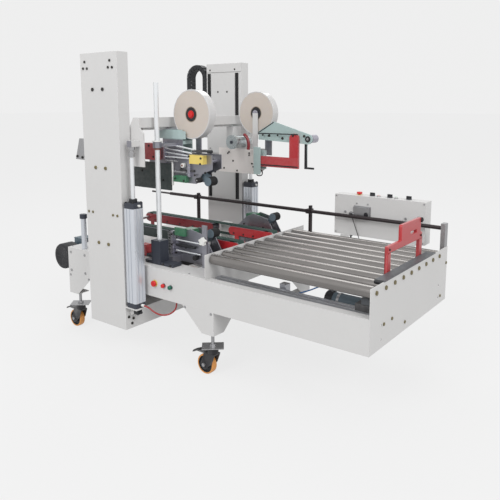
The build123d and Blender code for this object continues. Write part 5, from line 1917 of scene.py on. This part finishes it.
@dataclass
class AirHose:
    """The free red hose from the front cylinder's lower port to the front beam."""

    diameter: float = 8.0
    route: tuple[Point, ...] = (
        (-171.5, -476, 292),
        (-143.5, -476, 292),
        (-115, -471, 274),
        (-83, -456, 258),
        (-52, -434, 258),
        (-28, -414, 275),
        (-17, -404, 299),
        (-17, -404, 325),
    )
    length_m: float = 0.225

    def build(self) -> None:
        """Makes the hose as one smooth curve."""
        curve = bpy.data.curves.new("air_hose_line", "CURVE")
        curve.dimensions = "3D"
        curve.bevel_depth = self.diameter / 2 * MM
        curve.bevel_resolution = 6
        curve.use_fill_caps = True
        curve.resolution_u = 8
        spline = curve.splines.new("NURBS")
        spline.points.add(len(self.route) - 1)
        for point, spot in zip(spline.points, self.route):
            point.co = (*(value * MM for value in spot), 1.0)
        spline.order_u = 3
        spline.use_endpoint_u = True
        curve.materials.append(RED_HOSE.material())
        hose = bpy.data.objects.new("air_hose_line", curve)
        bpy.context.scene.collection.objects.link(hose)
        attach(hose, "base")
        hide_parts("air_hose")


@dataclass
class Studio:
    """The floor, the lights and the camera."""

    place_m: Point = (1.940, -2.352, 1.285)
    yaw_deg: float = 36.9
    pitch_deg: float = 8.8
    lens: float = 41.53
    shift: Range = (-0.0134, -0.111)
    surround: float = 0.86
    light: float = 0.80

    def build(self) -> None:
        """Sets the floor, the light and the camera."""
        self._floor()
        self._lights()
        self._camera()
        view = bpy.context.scene.view_settings
        view.view_transform = "Standard"
        view.look = "None"

    def _floor(self) -> None:
        """A wide pale floor that runs into the surround."""
        mesh = bpy.data.meshes.new("floor")
        mesh.from_pydata([(-90, -90, 0), (90, -90, 0), (90, 90, 0), (-90, 90, 0)], [], [(0, 1, 2, 3)])
        pale = bpy.data.materials.new("pale floor")
        pale.use_nodes = True
        wires = Wiring(pale.node_tree)
        seen = wires.node("ShaderNodeLightPath").outputs["Is Camera Ray"]
        level = wires.node("ShaderNodeMapRange", Value=seen, To_Min=0.52, To_Max=0.765).outputs[0]
        shader = wires.node("ShaderNodeBsdfPrincipled")
        shader.inputs["Base Color"].default_value = (0.10, 0.10, 0.10, 1.0)
        shader.inputs["Roughness"].default_value = 1.0
        shader.inputs["Specular IOR Level"].default_value = 0.0
        shader.inputs["Emission Color"].default_value = (1.0, 1.0, 1.0, 1.0)
        wires.feed(shader.inputs["Emission Strength"], level)
        wires.node("ShaderNodeOutputMaterial", Surface=shader.outputs[0])
        mesh.materials.append(pale)
        floor = bpy.data.objects.new("floor", mesh)
        bpy.context.scene.collection.objects.link(floor)

    def _lights(self) -> None:
        """An even pale surround that shows brighter than it lights, and three soft lamps."""
        world = bpy.data.worlds.new("surround")
        bpy.context.scene.world = world
        world.use_nodes = True
        wires = Wiring(world.node_tree)
        seen = wires.node("ShaderNodeLightPath").outputs["Is Camera Ray"]
        level = wires.node(
            "ShaderNodeMapRange", Value=seen, To_Min=self.light, To_Max=self.surround
        ).outputs[0]
        shown = wires.node("ShaderNodeBackground", Color=(1.0, 1.0, 1.0, 1.0), Strength=level)
        wires.node("ShaderNodeOutputWorld", Surface=shown.outputs[0])
        for name, spot, size, power in (
            ("key", (0.6, -6.0, 5.0), 2.6, 185.0),
            ("fill", (9.0, -3.0, 7.0), 4.0, 400.0),
            ("back", (-2.0, 3.0, 4.5), 3.0, 50.0),
        ):
            light = bpy.data.lights.new(name, "AREA")
            light.size = size
            light.energy = power
            lamp = bpy.data.objects.new(name, light)
            lamp.location = spot
            lamp.rotation_euler = (Vector((0, 0, 0.6)) - Vector(spot)).to_track_quat("-Z", "Y").to_euler()
            bpy.context.scene.collection.objects.link(lamp)

    def _camera(self) -> None:
        """The camera, at chest height off the roller table's front corner."""
        data = bpy.data.cameras.new("camera")
        data.lens = self.lens
        data.sensor_width = 36.0
        data.shift_x, data.shift_y = self.shift
        data.clip_end = 300.0
        camera = bpy.data.objects.new("camera", data)
        camera.location = self.place_m
        camera.rotation_euler = (math.radians(90 - self.pitch_deg), 0.0, math.radians(self.yaw_deg))
        bpy.context.scene.collection.objects.link(camera)
        bpy.context.scene.camera = camera


def main() -> None:
    """Builds the scene in order."""
    logging.basicConfig(level=logging.INFO, format="%(name)s: %(message)s")
    Studio().build()
    fasteners = FastenerTree()
    AirHose().build()
    MachineFrame(fasteners).build()
    RollerTable(fasteners).build()
    BeltLanes(fasteners, FinTree()).build()
    LiftBridge(fasteners).build()
    TapeHeads(fasteners).build()
    Controls(fasteners).build()
    Casters().build()


if __name__ == "__main__":
    main()
